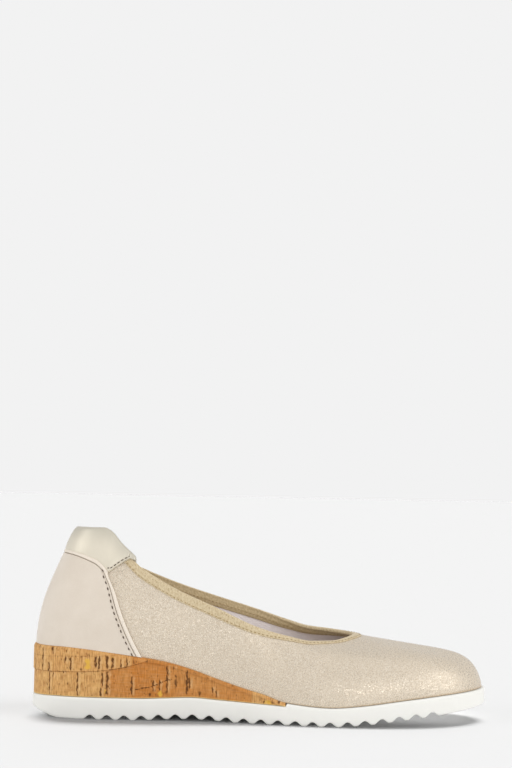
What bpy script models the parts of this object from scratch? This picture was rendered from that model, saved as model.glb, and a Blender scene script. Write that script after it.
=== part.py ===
"""Right slip-on ballerina shoe: lasted upper on a cork wedge and a white ripple sole.

Sizes are in millimetres. "Along" is the distance from the back of the sole towards the toe,
the lateral side is -Y, the medial side is +Y, and heights are above the floor.
"""
from collections import namedtuple

import bmesh
import bpy
import numpy as np

MM = 0.001

SOLE_LENGTH = 256.0
BALL_WIDTH = 82.0
SEAT_HEIGHT = 38.4
BACK_HEIGHT = 101.5
INSTEP_HEIGHT = 45.0

WALL = 2.0
GAP = 0.3
LEDGE_HEEL = 2.5
LEDGE_TOE = 1.6

RIPPLES = 21
RIPPLE_PITCH = 9.35
RIPPLE_DEPTH = 2.4
FIRST_VALLEY = 35.4
SOLE_EDGE = 0.8
CORK_TIP = 142.0
CORK_BAND = 13.6
CORK_BAND_END = 68.0
CORK_BAND_TAPER = 2.6
CORK_STEP = 0.5
INSOLE_THICK = 3.0

COUNTER_THICK = 1.0
STRIP_FRONT = 3.1
STRIP_TOP = 1.5
STRIP_THICK = 1.2
COUNTER_BACK = 0.796
COUNTER_FRONT = 0.685
COLLAR_TIP = 3.75
COLLAR_TIP_MEDIAL = 3.6
COLLAR_WING = 0.14
COLLAR_PAD = 1.7
COLLAR_CREST = 3.2
COLLAR_FLARE = 0.25
BINDING_OUTSIDE = 5.0
BINDING_FLANK = 3.0
BINDING_FRONT = 4.4
BINDING_INSIDE = 5.5
BINDING_THICK = 0.7

# One row for each section of the last, from the heel back to the toe tip. along and rim_along are
# percent of SOLE_LENGTH; the lateral and medial distances are percent of BALL_WIDTH; shoulder is
# the height above the feather line at which the wall turns in, percent of INSTEP_HEIGHT; crown and
# wall are the powers that round the section above and below its shoulder.
Section = namedtuple(
    "Section", "name along lateral medial rim_along rim_lateral rim_medial shoulder crown wall")
SECTIONS = (
    Section("heel_back", 1.0, 0.0, 0.0, 8.6, 0.0, 0.0, 40, 7.0, 1.95),
    Section("heel_turn", 2.6, 17.0, 17.0, 9.6, 11.6, 11.6, 42, 6.8, 1.95),
    Section("heel_side", 6.9, 28.8, 28.4, 12.0, 20.2, 20.0, 48, 7.0, 2.0),
    Section("heel_wide", 14.1, 34.0, 33.2, 16.9, 24.4, 24.0, 48, 5.0, 2.0),
    Section("quarter", 23.4, 35.4, 33.2, 24.8, 29.2, 28.4, 44, 4.0, 2.0),
    Section("shank", 32.8, 35.8, 31.4, 33.4, 32.6, 30.4, 38, 3.5, 2.0),
    Section("waist", 41.8, 37.8, 31.2, 41.6, 35.0, 31.6, 34, 3.5, 2.0),
    Section("instep", 50.8, 42.2, 35.6, 49.6, 36.2, 33.2, 34, 3.5, 2.0),
    Section("joint", 59.4, 47.4, 42.6, 55.8, 32.2, 31.8, 44, 3.5, 2.0),
    Section("ball", 68.0, 50.2, 48.6, 60.8, 26.2, 28.4, 46, 4.0, 2.0),
    Section("vamp", 76.2, 47.8, 49.6, 64.7, 20.2, 24.6, 46, 5.1, 1.89),
    Section("toe_side", 84.8, 41.0, 46.2, 67.7, 14.0, 20.0, 42.7, 6.7, 1.87),
    Section("toe_corner", 92.2, 29.0, 38.0, 69.7, 7.8, 14.8, 40.5, 7.7, 1.82),
    Section("toe_turn", 97.4, 12.4, 25.2, 70.6, 1.6, 9.4, 37.1, 8.9, 1.69),
    Section("toe_tip", 99.4, -6.8, 6.8, 70.8, -4.2, 4.2, 38.4, 11.2, 1.5),
)

# Heights along the shoe, along in percent of SOLE_LENGTH. seat is the top of the cork and then of
# the sole, percent of SEAT_HEIGHT; ground is the under side and deck the top of the sole beneath
# the cork, both in millimetres above the floor.
Level = namedtuple("Level", "along seat ground deck")
LEVELS = (
    Level(0.0, 99.5, 4.6, 10.6),
    Level(3.0, 100.0, 2.5, 11.3),
    Level(7.0, 100.2, 0.0, 11.7),
    Level(12.0, 98.0, 0.0, 11.7),
    Level(18.0, 93.5, 0.0, 11.7),
    Level(24.0, 88.5, 0.0, 11.7),
    Level(29.5, 82.5, 0.9, 12.2),
    Level(35.5, 72.0, 1.3, 12.8),
    Level(41.0, 59.5, 0.7, 12.0),
    Level(46.5, 48.0, 0.0, 11.2),
    Level(51.0, 40.0, 0.0, 10.6),
    Level(55.5, 30.4, 0.0, 10.2),
    Level(65.0, 25.6, 0.0, 10.2),
    Level(72.0, 29.2, 1.2, 10.2),
    Level(81.0, 36.6, 3.8, 10.2),
    Level(90.0, 42.4, 6.4, 10.2),
    Level(100.0, 46.6, 9.4, 10.2),
)

# Edge of the upper at the opening, along in percent of SOLE_LENGTH, heights in percent of BACK_HEIGHT.
Edge = namedtuple("Edge", "along lateral medial")
TOPLINE = (
    Edge(8.0, 100.0, 100.0),
    Edge(15.2, 100.0, 97.4),
    Edge(17.0, 98.0, 92.4),
    Edge(19.4, 91.4, 84.8),
    Edge(21.6, 86.0, 79.8),
    Edge(23.6, 81.3, 77.4),
    Edge(26.8, 76.2, 74.0),
    Edge(32.2, 69.0, 69.0),
    Edge(40.2, 60.4, 62.6),
    Edge(49.2, 50.5, 55.8),
    Edge(55.9, 45.7, 50.6),
    Edge(61.0, 42.9, 47.3),
    Edge(65.6, 42.7, 46.3),
    Edge(70.8, 45.2, 45.2),
)

# Front edge of the counter on each side: rise is the share of its height, row the place among SECTIONS.
Seam = namedtuple("Seam", "rise row")
SEAM = (
    Seam(0.0, 4.0),
    Seam(0.3, 3.75),
    Seam(0.6, 3.49),
    Seam(0.85, 3.27),
    Seam(1.0, 3.02),
)

LAST_ROW = len(SECTIONS) - 1
LOOP = 2 * LAST_ROW
TRACE = 121


def closed_spline(values):
    """Smooth closed curve through values that stand at 0, 1, 2 and so on."""
    values = np.array(values, float)
    count = len(values)
    unit = np.eye(count)
    system = (4 * unit + np.roll(unit, 1, axis=1) + np.roll(unit, -1, axis=1)) / 6
    bend = np.linalg.solve(system, np.roll(values, 1) - 2 * values + np.roll(values, -1))

    def at(u):
        low = np.floor(u).astype(int)
        t = u - low
        s = 1 - t
        a, b = low % count, (low + 1) % count
        return s * values[a] + t * values[b] + ((s**3 - s) * bend[a] + (t**3 - t) * bend[b]) / 6

    return at


def steady_curve(places, values):
    """Smooth open curve through values that never overshoots them."""
    places, values = np.array(places, float), np.array(values, float)
    step = np.diff(places)
    rise = np.diff(values) / step
    same_way = rise[:-1] * rise[1:] > 0
    inner = np.zeros(len(rise) - 1)
    inner[same_way] = 2 / (1 / rise[:-1][same_way] + 1 / rise[1:][same_way])
    slope = np.concatenate([rise[:1], inner, rise[-1:]])

    def at(x):
        x = np.clip(x, places[0], places[-1])
        i = np.clip(np.searchsorted(places, x, side="right") - 1, 0, len(step) - 1)
        t = (x - places[i]) / step[i]
        bulge = t * (1 - t) * ((1 - t) * slope[i] - t * slope[i + 1]) * step[i]
        return values[i] + t * t * (3 - 2 * t) * (values[i + 1] - values[i]) + bulge

    return at


def around(lateral, medial, scale):
    """Closed curve of one column: out along the lateral rows and back along the medial ones."""
    out = [getattr(row, lateral) for row in SECTIONS]
    back = [getattr(row, medial) for row in SECTIONS[-2:0:-1]]
    return closed_spline(np.array(out + back) * scale)


def across(lateral, medial):
    """Closed curve of distances from the middle, the lateral ones on the -Y side."""
    out = [-getattr(row, lateral) for row in SECTIONS]
    back = [getattr(row, medial) for row in SECTIONS[-2:0:-1]]
    return closed_spline(np.array(out + back) * BALL_WIDTH / 100)


feather_along = around("along", "along", SOLE_LENGTH / 100)
feather_across = across("lateral", "medial")
rim_along = around("rim_along", "rim_along", SOLE_LENGTH / 100)
rim_across = across("rim_lateral", "rim_medial")
shoulder = around("shoulder", "shoulder", INSTEP_HEIGHT / 100)
crown_power = around("crown", "crown", 1.0)
wall_power = around("wall", "wall", 1.0)

level_places = [row.along * SOLE_LENGTH / 100 for row in LEVELS]
seat = steady_curve(level_places, [row.seat * SEAT_HEIGHT / 100 for row in LEVELS])
ground = steady_curve(level_places, [row.ground for row in LEVELS])
deck = steady_curve(level_places, [row.deck for row in LEVELS])

edge_places = [row.along * SOLE_LENGTH / 100 for row in TOPLINE]
lateral_edge = steady_curve(edge_places, [row.lateral * BACK_HEIGHT / 100 for row in TOPLINE])
medial_edge = steady_curve(edge_places, [row.medial * BACK_HEIGHT / 100 for row in TOPLINE])


def traces(u):
    """Section lines of the last at u, each from the feather line up to the rim."""
    along, side = feather_along(u), feather_across(u)
    foot = np.stack([along, side, seat(along) + GAP], axis=-1)
    turn = foot + np.stack([0 * u, 0 * u, shoulder(u)], axis=-1)
    rim_x = rim_along(u)
    rim_z = np.where(u % LOOP <= LAST_ROW, lateral_edge(rim_x), medial_edge(rim_x))
    rim = np.stack([rim_x, rim_across(u), rim_z], axis=-1)
    angle = np.linspace(0, np.pi / 2, TRACE)
    outward = np.cos(angle).clip(0) ** (2 / crown_power(u)[:, None])
    upward = np.sin(angle) ** (2 / wall_power(u)[:, None])
    corner = rim - (turn - foot)
    points = corner[:, None] + outward[..., None] * (turn - rim)[:, None]
    points = points + upward[..., None] * (turn - foot)[:, None]
    steps = np.linalg.norm(np.diff(points, axis=1), axis=2)
    lengths = np.concatenate([np.zeros((len(u), 1)), np.cumsum(steps, axis=1)], axis=1)
    return points, lengths


def girth(u):
    """Length of the section line at u, from the feather line to the rim."""
    return traces(np.atleast_1d(np.asarray(u, float)))[1][:, -1]


def place(u, share):
    """Points on the last at u, a share of the way up; past the rim the line runs straight on."""
    points, lengths = traces(u)
    found = np.empty((len(u), 3))
    for i, (line, length) in enumerate(zip(points, lengths)):
        reach = np.clip(share[i], 0, 1) * length[-1]
        found[i] = [np.interp(reach, length, line[:, axis]) for axis in range(3)]
        ending = line[-1] - line[-4]
        found[i] += ending / np.linalg.norm(ending) * max(share[i] - 1, 0) * length[-1]
    return found


def skin(u, share, out=0.0):
    """Points on the last, moved out of it along its normal."""
    u, share, out = (a.ravel() for a in np.broadcast_arrays(np.asarray(u, float), share, out))
    onward = place(u + 0.02, share) - place(u - 0.02, share)
    upward = place(u, share + 0.01) - place(u, share - 0.01)
    normal = np.cross(onward, upward)
    normal /= np.linalg.norm(normal, axis=1)[:, None]
    return place(u, share) + normal * out[:, None]


def outline(u, reach):
    """Feather line in plan, moved outwards by reach."""
    onward = np.stack([
        feather_along(u + 0.01) - feather_along(u - 0.01),
        feather_across(u + 0.01) - feather_across(u - 0.01)], axis=-1)
    onward /= np.linalg.norm(onward, axis=1)[:, None]
    outwards = np.stack([onward[:, 1], -onward[:, 0]], axis=-1)
    return np.stack([feather_along(u), feather_across(u)], axis=-1) + outwards * np.reshape(reach, (-1, 1))


def ledge(u):
    """Width of the sole's edge beyond the upper, wider where the counter stands on it."""
    return np.interp(feather_along(u), [40, 90], [LEDGE_HEEL, LEDGE_TOE])


ROUND = np.linspace(0, LOOP, 200 * LOOP + 1)
SOLE_PLAN = outline(ROUND, ledge(ROUND))
TOE_INDEX = int(np.argmax(SOLE_PLAN[:, 0]))
MIDDLE = np.append((SOLE_PLAN.min(axis=0) + SOLE_PLAN.max(axis=0)) / 2, 0)


def sole_sides(stations):
    """Places around the last, lateral then medial, where the sole's edge stands at each station."""
    lateral = np.interp(stations, SOLE_PLAN[:TOE_INDEX + 1, 0], ROUND[:TOE_INDEX + 1])
    medial = np.interp(stations, SOLE_PLAN[:TOE_INDEX - 1:-1, 0], ROUND[:TOE_INDEX - 1:-1])
    return lateral, medial


def corner_line(u, reach, height):
    """One long edge of a sole layer: plan places and heights above them."""
    plan = outline(u, reach)
    return np.column_stack([plan, height(plan[:, 0])])


def loft(name, rings, closed, colour, roughness):
    """One closed solid through rings of points, capped at its ends unless it closes on itself."""
    rings = (np.asarray(rings) - MIDDLE) * MM
    count, size = rings.shape[:2]
    mesh = bpy.data.meshes.new(name)
    work = bmesh.new()
    verts = [[work.verts.new(point) for point in ring] for ring in rings]
    for i in range(count if closed else count - 1):
        here, there = verts[i], verts[(i + 1) % count]
        for j in range(size):
            k = (j + 1) % size
            work.faces.new((here[j], here[k], there[k], there[j]))
    if not closed:
        work.faces.new(verts[0])
        work.faces.new(verts[-1])
    bmesh.ops.triangulate(work, faces=work.faces)
    bmesh.ops.recalc_face_normals(work, faces=work.faces)
    work.to_mesh(mesh)
    work.free()
    paint = bpy.data.materials.new(name)
    paint.use_nodes = True
    shader = paint.node_tree.nodes["Principled BSDF"]
    shader.inputs["Base Color"].default_value = (*colour, 1.0)
    shader.inputs["Roughness"].default_value = roughness
    mesh.materials.append(paint)
    bpy.context.scene.collection.objects.link(bpy.data.objects.new(name, mesh))


for item in list(bpy.data.objects):
    bpy.data.objects.remove(item, do_unlink=True)

# Outsole: a slab with a rippled under side; its top drops beneath the cork and steps up at the tip.
HEEL_STATIONS = (0.1, 0.7, 1.8, 3.6, 6.2, 9.8, 14.5, 20.0, 26.0)
RIPPLE_PHASES = (-0.38, -0.2, 0.0, 0.2, 0.38)
TOE_STATIONS = (232.0, 238.0, 243.5, 247.8, 251.0, 253.2, 254.8, 256.0)


def tread(along):
    """Height of the under side: the sole's rocker with the ripples cut up into it."""
    turn = (along - FIRST_VALLEY) / RIPPLE_PITCH
    wave = np.clip((0.4 + 0.5 * np.cos(2 * np.pi * turn)) / 0.9, 0, None)
    rippled = (turn > -0.5) & (turn < RIPPLES - 0.5)
    return ground(along) + np.where(rippled, RIPPLE_DEPTH * wave, 0)


def sole_top(along):
    """Top of the sole, beneath the cork and then beneath the upper."""
    return np.where(along < CORK_TIP + 2 * GAP, deck(along), seat(along))


valleys = FIRST_VALLEY + RIPPLE_PITCH * np.arange(RIPPLES)
ripple_stations = (valleys[:, None] + RIPPLE_PITCH * np.array(RIPPLE_PHASES)).ravel()
clear = np.abs(ripple_stations - CORK_TIP - GAP) > 1.2
step_stations = (CORK_TIP + GAP, CORK_TIP + 3 * GAP)
stations = np.sort(np.concatenate(
    [HEEL_STATIONS, ripple_stations[clear], step_stations, TOE_STATIONS]))
lateral, medial = sole_sides(stations)
sole_edges = (
    (lateral, -SOLE_EDGE, sole_top),
    (medial, -SOLE_EDGE, sole_top),
    (medial, 0.0, lambda x: sole_top(x) - SOLE_EDGE),
    (medial, 0.0, tread),
    (lateral, 0.0, tread),
    (lateral, 0.0, lambda x: sole_top(x) - SOLE_EDGE),
)
rings = np.stack([corner_line(u, ledge(u) + extra, height) for u, extra, height in sole_edges], axis=1)
loft("outsole", rings, False, (0.85, 0.85, 0.82), 0.6)

# Cork wedge: an upper band that stands proud of the lower one, down to a thin tip at the ball.
wedge_stations = np.concatenate([HEEL_STATIONS, np.arange(33.0, CORK_TIP - 4, 7.0), (139.0, CORK_TIP)])
lateral, medial = sole_sides(wedge_stations)


def band_foot(along):
    """Lower edge of the upper cork band."""
    thick = CORK_BAND * (1 - (along / CORK_BAND_END) ** CORK_BAND_TAPER)
    return seat(along) - np.clip(thick, CORK_STEP, None)


wedge_edges = (
    (lateral, 0.0, seat),
    (medial, 0.0, seat),
    (medial, 0.0, band_foot),
    (medial, -CORK_STEP, lambda x: band_foot(x) - 0.3),
    (medial, -CORK_STEP, lambda x: deck(x) + GAP),
    (lateral, -CORK_STEP, lambda x: deck(x) + GAP),
    (lateral, -CORK_STEP, lambda x: band_foot(x) - 0.3),
    (lateral, 0.0, band_foot),
)
rings = np.stack([corner_line(u, ledge(u) + extra, height) for u, extra, height in wedge_edges], axis=1)
loft("cork_wedge", rings, False, (0.62, 0.36, 0.15), 0.8)

# Insole: a thin board that follows the top of the cork and of the sole, inside the upper's wall.
insole_stations = np.concatenate([HEEL_STATIONS, np.arange(33.0, 230.0, 8.0), TOE_STATIONS])
lateral, medial = sole_sides(insole_stations)
inset = -(WALL + 3 * GAP)
insole_edges = (
    (lateral, inset - 0.8, lambda x: seat(x) + GAP + INSOLE_THICK),
    (medial, inset - 0.8, lambda x: seat(x) + GAP + INSOLE_THICK),
    (medial, inset, lambda x: seat(x) + GAP + INSOLE_THICK - 0.8),
    (medial, inset, lambda x: seat(x) + GAP),
    (lateral, inset, lambda x: seat(x) + GAP),
    (lateral, inset, lambda x: seat(x) + GAP + INSOLE_THICK - 0.8),
)
rings = np.stack([corner_line(u, reach, height) for u, reach, height in insole_edges], axis=1)
loft("insole", rings, False, (0.58, 0.54, 0.58), 0.8)

# Upper: a wall around the whole last, open at the rim and underneath.
UPPER_AROUND = 4 * LOOP
UPPER_SHARES = np.linspace(0, 1, 11)
rings = []
for u in np.arange(UPPER_AROUND) * LOOP / UPPER_AROUND:
    rings.append(np.concatenate([skin(u, UPPER_SHARES), skin(u, UPPER_SHARES[::-1], -WALL)]))
loft("upper", rings, True, (0.68, 0.60, 0.50), 0.7)

# Heel counter: a panel on the upper from seam to seam, with its top edge under the collar.
SEAM_HEAD = SEAM[-1].row
seam = steady_curve([row.rise for row in SEAM], [row.row for row in SEAM])


def counter_top(u):
    """Share of the section line at which the counter ends."""
    return COUNTER_BACK - (COUNTER_BACK - COUNTER_FRONT) * (u / SEAM_HEAD) ** 4


rise = np.linspace(0, 1, 9)
rings = []
for turn in np.linspace(-1, 1, 33):
    u = turn * seam(rise)
    share = rise * counter_top(u[-1])
    rings.append(np.concatenate([
        skin(u, share, GAP + COUNTER_THICK), skin(u[::-1], share[::-1], GAP)]))
loft("heel_counter", rings, False, (0.74, 0.66, 0.58), 0.85)

# Counter strip: lies against the counter's front edges and top edge, in one length.
PACE_FROM, PACE_TO = place(np.array([3.5, 3.6]), np.array([0.4, 0.4]))
PACE = np.linalg.norm(PACE_TO - PACE_FROM) / 0.1


def strip_path(front, above):
    """Places and shares along the counter's border, so many millimetres in front of and above it."""
    climb = np.linspace(0, 1, 12)
    up_u = seam(climb) + front / PACE
    up_share = climb * COUNTER_FRONT
    head = SEAM_HEAD + front / PACE
    over_u = np.linspace(1, -1, 25) * head
    over_share = counter_top(over_u * SEAM_HEAD / head) + above / girth(over_u)
    u = np.concatenate([up_u, over_u, -up_u[::-1]])
    return u, np.concatenate([up_share, over_share, up_share[::-1]])


near, far = strip_path(GAP, GAP), strip_path(GAP + STRIP_FRONT, GAP + STRIP_TOP)
rings = np.stack([
    skin(*near, GAP), skin(*far, GAP),
    skin(*far, GAP + STRIP_THICK), skin(*near, GAP + STRIP_THICK)], axis=1)
loft("counter_strip", rings, False, (0.76, 0.69, 0.60), 0.8)

# Heel collar: soft padding folded over the top of the heel, out to a raised tip on each side.
collar_corner = SEAM_HEAD + (STRIP_FRONT + 2 * GAP) / PACE
lateral_u = np.linspace(collar_corner, COLLAR_TIP, 8)
medial_u = -np.linspace(collar_corner, COLLAR_TIP_MEDIAL, 8)
collar_u = np.concatenate([
    medial_u[:0:-1], np.linspace(-collar_corner, collar_corner, 27), lateral_u[1:]])
span = girth(collar_u)
beside = np.minimum(np.abs(collar_u), collar_corner)
above_strip = counter_top(beside * SEAM_HEAD / collar_corner) + (STRIP_TOP + 2 * GAP) / span
front = np.where(collar_u > 0, COLLAR_TIP, COLLAR_TIP_MEDIAL) - collar_corner
to_rim = np.clip((np.abs(collar_u) - collar_corner) / (front - COLLAR_WING), 0, 1)
to_tip = np.clip((np.abs(collar_u) - collar_corner) / front, 0, 1)
low = above_strip + (1 - 1.2 / span - above_strip) * to_rim
middle = 0.5 + 0.5 * low
crest = 1 + COLLAR_CREST * (1 + COLLAR_FLARE * to_tip**2) / span
brow = 1 + (crest - 1) * 0.7
pad = COLLAR_PAD * (1 - 0.55 * to_tip**2)
outer = GAP + 0.5 * pad
collar_edges = (
    (low, GAP),
    (low, outer),
    (middle, GAP + pad),
    (1.0, GAP + pad),
    (brow, 0.5 * pad),
    (crest, -WALL / 2),
    (brow, -WALL - 0.5 * pad),
    (1.0, -WALL - GAP - pad),
    (middle, -WALL - GAP - pad),
    (low, -WALL - outer),
    (low, -WALL - GAP),
    (1 + 2 * GAP / span, -WALL - GAP),
    (1 + 2 * GAP / span, GAP),
)
rings = np.stack([skin(collar_u, share, out) for share, out in collar_edges], axis=1)
loft("heel_collar", rings, False, (0.70, 0.66, 0.55), 0.4)

# Topline binding: tape folded over the rim from one collar tip round the throat to the other.
# Its outer leg narrows along the flanks of the opening and widens again at the front.
TIP_GAP = 0.02
LEG_ROWS = (6.0, 7.6, 10.5, LAST_ROW)
binding_u = np.linspace(COLLAR_TIP + TIP_GAP, LOOP - COLLAR_TIP_MEDIAL - TIP_GAP, 73)
span = girth(binding_u)
from_heel = np.minimum(binding_u, LOOP - binding_u)
leg_widths = (BINDING_OUTSIDE, BINDING_FLANK, BINDING_FLANK, BINDING_FRONT)
outer_leg = np.interp(from_heel, LEG_ROWS, leg_widths)
leg_out, leg_in = 1 - outer_leg / span, 1 - BINDING_INSIDE / span
rim, top = 1 + GAP / span, 1 + (GAP + BINDING_THICK) / span
shut, thick = GAP, GAP + BINDING_THICK
binding_edges = (
    (leg_out, shut),
    (leg_out, thick),
    (0.5 + 0.5 * leg_out, thick),
    (rim, thick),
    (top, 0.0),
    (top, -WALL),
    (rim, -WALL - thick),
    (0.5 + 0.5 * leg_in, -WALL - thick),
    (leg_in, -WALL - thick),
    (leg_in, -WALL - shut),
    (0.5 + 0.5 * leg_in, -WALL - shut),
    (rim, -WALL - shut),
    (rim, shut),
    (0.5 + 0.5 * leg_out, shut),
)
rings = np.stack([skin(binding_u, share, out) for share, out in binding_edges], axis=1)
loft("topline_binding", rings, False, (0.68, 0.56, 0.32), 0.5)
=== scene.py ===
import math
from collections import namedtuple
from functools import partial

import bmesh
import bpy
import numpy as np
from mathutils import Matrix


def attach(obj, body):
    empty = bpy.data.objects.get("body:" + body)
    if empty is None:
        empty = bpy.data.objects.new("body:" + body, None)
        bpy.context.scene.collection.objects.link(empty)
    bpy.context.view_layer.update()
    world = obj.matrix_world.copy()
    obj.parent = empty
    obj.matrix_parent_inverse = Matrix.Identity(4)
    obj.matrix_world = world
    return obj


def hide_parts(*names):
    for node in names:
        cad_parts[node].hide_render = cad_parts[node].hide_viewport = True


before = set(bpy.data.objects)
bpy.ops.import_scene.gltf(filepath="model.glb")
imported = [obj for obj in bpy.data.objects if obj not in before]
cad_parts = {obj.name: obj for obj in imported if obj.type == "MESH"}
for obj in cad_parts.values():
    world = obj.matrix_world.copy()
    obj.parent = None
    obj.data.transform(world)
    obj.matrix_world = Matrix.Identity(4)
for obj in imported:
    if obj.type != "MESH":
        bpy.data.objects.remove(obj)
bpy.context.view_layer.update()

# Upper: one piece of foiled split suede, closed at the back, pulled over the last and cemented under
# its edge. The last comes from length, ball width, heel and instep heights and a row for each section.
# Sizes are in millimetres, "along" runs from the back of the sole to the toe, the lateral side is -Y.
MM = 0.001
SOLE_LENGTH = 256.0
BALL_WIDTH = 82.0
SEAT_HEIGHT = 38.4
BACK_HEIGHT = 101.5
INSTEP_HEIGHT = 45.0
WALL = 2.0
SUEDE = 1.1
GAP = 0.3
LEDGE_HEEL = 2.5
LEDGE_TOE = 1.6
LEDGE_NARROWS = (40, 90)

# along and rim_along are percent of SOLE_LENGTH, the lateral and medial distances percent of
# BALL_WIDTH, shoulder is where the wall turns in, percent of INSTEP_HEIGHT, and crown and wall are
# the powers that round the section above and below its shoulder.
Section = namedtuple(
    "Section", "name along lateral medial rim_along rim_lateral rim_medial shoulder crown wall")
SECTIONS = (
    Section("heel_back", 1.0, 0.0, 0.0, 8.6, 0.0, 0.0, 40, 7.0, 1.95),
    Section("heel_turn", 2.6, 17.0, 17.0, 9.6, 11.6, 11.6, 42, 6.8, 1.95),
    Section("heel_side", 6.9, 28.8, 28.4, 12.0, 20.2, 20.0, 48, 7.0, 2.0),
    Section("heel_wide", 14.1, 34.0, 33.2, 16.9, 24.4, 24.0, 48, 5.0, 2.0),
    Section("quarter", 23.4, 35.4, 33.2, 24.8, 29.2, 28.4, 44, 4.0, 2.0),
    Section("shank", 32.8, 35.8, 31.4, 33.4, 32.6, 30.4, 38, 3.5, 2.0),
    Section("waist", 41.8, 37.8, 31.2, 41.6, 35.0, 31.6, 34, 3.5, 2.0),
    Section("instep", 50.8, 42.2, 35.6, 49.6, 36.2, 33.2, 34, 3.5, 2.0),
    Section("joint", 59.4, 47.4, 42.6, 55.8, 32.2, 31.8, 44, 3.5, 2.0),
    Section("ball", 68.0, 50.2, 48.6, 60.8, 26.2, 28.4, 46, 4.0, 2.0),
    Section("vamp", 76.2, 47.8, 49.6, 64.7, 20.2, 24.6, 46, 5.1, 1.89),
    Section("toe_side", 84.8, 41.0, 46.2, 67.7, 14.0, 20.0, 42.7, 6.7, 1.87),
    Section("toe_corner", 92.2, 29.0, 38.0, 69.7, 7.8, 14.8, 40.5, 7.7, 1.82),
    Section("toe_turn", 97.4, 12.4, 25.2, 70.6, 1.6, 9.4, 37.1, 8.9, 1.69),
    Section("toe_tip", 99.4, -6.8, 6.8, 70.8, -4.2, 4.2, 38.4, 11.2, 1.5),
)

# Heights along the shoe: seat is the top of the cork and then of the sole, percent of SEAT_HEIGHT;
# ground and deck are the under side and the top of the sole beneath the cork, in millimetres.
Level = namedtuple("Level", "along seat ground deck")
LEVELS = (
    Level(0.0, 99.5, 4.6, 10.6),
    Level(3.0, 100.0, 2.5, 11.3),
    Level(7.0, 100.2, 0.0, 11.7),
    Level(12.0, 98.0, 0.0, 11.7),
    Level(18.0, 93.5, 0.0, 11.7),
    Level(24.0, 88.5, 0.0, 11.7),
    Level(29.5, 82.5, 0.9, 12.2),
    Level(35.5, 72.0, 1.3, 12.8),
    Level(41.0, 59.5, 0.7, 12.0),
    Level(46.5, 48.0, 0.0, 11.2),
    Level(51.0, 40.0, 0.0, 10.6),
    Level(55.5, 30.4, 0.0, 10.2),
    Level(65.0, 25.6, 0.0, 10.2),
    Level(72.0, 29.2, 1.2, 10.2),
    Level(81.0, 36.6, 3.8, 10.2),
    Level(90.0, 42.4, 6.4, 10.2),
    Level(100.0, 46.6, 9.4, 10.2),
)

# Edge of the upper at the opening, heights in percent of BACK_HEIGHT.
Edge = namedtuple("Edge", "along lateral medial")
TOPLINE = (
    Edge(8.0, 100.0, 100.0),
    Edge(15.2, 100.0, 97.4),
    Edge(17.0, 98.0, 92.4),
    Edge(19.4, 91.4, 84.8),
    Edge(21.6, 86.0, 79.8),
    Edge(23.6, 81.3, 77.4),
    Edge(26.8, 76.2, 74.0),
    Edge(32.2, 69.0, 69.0),
    Edge(40.2, 60.4, 62.6),
    Edge(49.2, 50.5, 55.8),
    Edge(55.9, 45.7, 50.6),
    Edge(61.0, 42.9, 47.3),
    Edge(65.6, 42.7, 46.3),
    Edge(70.8, 45.2, 45.2),
)

LAST_ROW = len(SECTIONS) - 1
LOOP = 2 * LAST_ROW
TRACE = 241
PLAN_STEPS = 200
SHARP_ANGLE = 50


def closed_spline(values):
    """Smooth closed curve through values that stand at 0, 1, 2 and so on."""
    values = np.array(values, float)
    count = len(values)
    unit = np.eye(count)
    system = (4 * unit + np.roll(unit, 1, axis=1) + np.roll(unit, -1, axis=1)) / 6
    bend = np.linalg.solve(system, np.roll(values, 1) - 2 * values + np.roll(values, -1))

    def at(u):
        low = np.floor(u).astype(int)
        t = u - low
        s = 1 - t
        a, b = low % count, (low + 1) % count
        return s * values[a] + t * values[b] + ((s**3 - s) * bend[a] + (t**3 - t) * bend[b]) / 6

    return at


def steady_curve(places, values):
    """Smooth open curve through values that never overshoots them."""
    places, values = np.array(places, float), np.array(values, float)
    step = np.diff(places)
    rise = np.diff(values) / step
    same_way = rise[:-1] * rise[1:] > 0
    inner = np.zeros(len(rise) - 1)
    inner[same_way] = 2 / (1 / rise[:-1][same_way] + 1 / rise[1:][same_way])
    slope = np.hstack([rise[:1], inner, rise[-1:]])

    def at(x):
        x = np.clip(x, places[0], places[-1])
        i = np.clip(np.searchsorted(places, x, side="right") - 1, 0, len(step) - 1)
        t = (x - places[i]) / step[i]
        bulge = t * (1 - t) * ((1 - t) * slope[i] - t * slope[i + 1]) * step[i]
        return values[i] + t * t * (3 - 2 * t) * (values[i + 1] - values[i]) + bulge

    return at


def around(lateral, medial, scale, lateral_sign=1):
    """Closed curve of two columns: out along the lateral rows and back along the medial ones."""
    out = [lateral_sign * getattr(row, lateral) for row in SECTIONS]
    back = [getattr(row, medial) for row in SECTIONS[-2:0:-1]]
    return closed_spline(np.array(out + back) * scale)


feather_along = around("along", "along", SOLE_LENGTH / 100)
feather_across = around("lateral", "medial", BALL_WIDTH / 100, -1)
rim_along = around("rim_along", "rim_along", SOLE_LENGTH / 100)
rim_across = around("rim_lateral", "rim_medial", BALL_WIDTH / 100, -1)
shoulder = around("shoulder", "shoulder", INSTEP_HEIGHT / 100)
crown_power = around("crown", "crown", 1.0)
wall_power = around("wall", "wall", 1.0)

level_places = [row.along * SOLE_LENGTH / 100 for row in LEVELS]
seat = steady_curve(level_places, [row.seat * SEAT_HEIGHT / 100 for row in LEVELS])

edge_places = [row.along * SOLE_LENGTH / 100 for row in TOPLINE]
lateral_edge = steady_curve(edge_places, [row.lateral * BACK_HEIGHT / 100 for row in TOPLINE])
medial_edge = steady_curve(edge_places, [row.medial * BACK_HEIGHT / 100 for row in TOPLINE])


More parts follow.
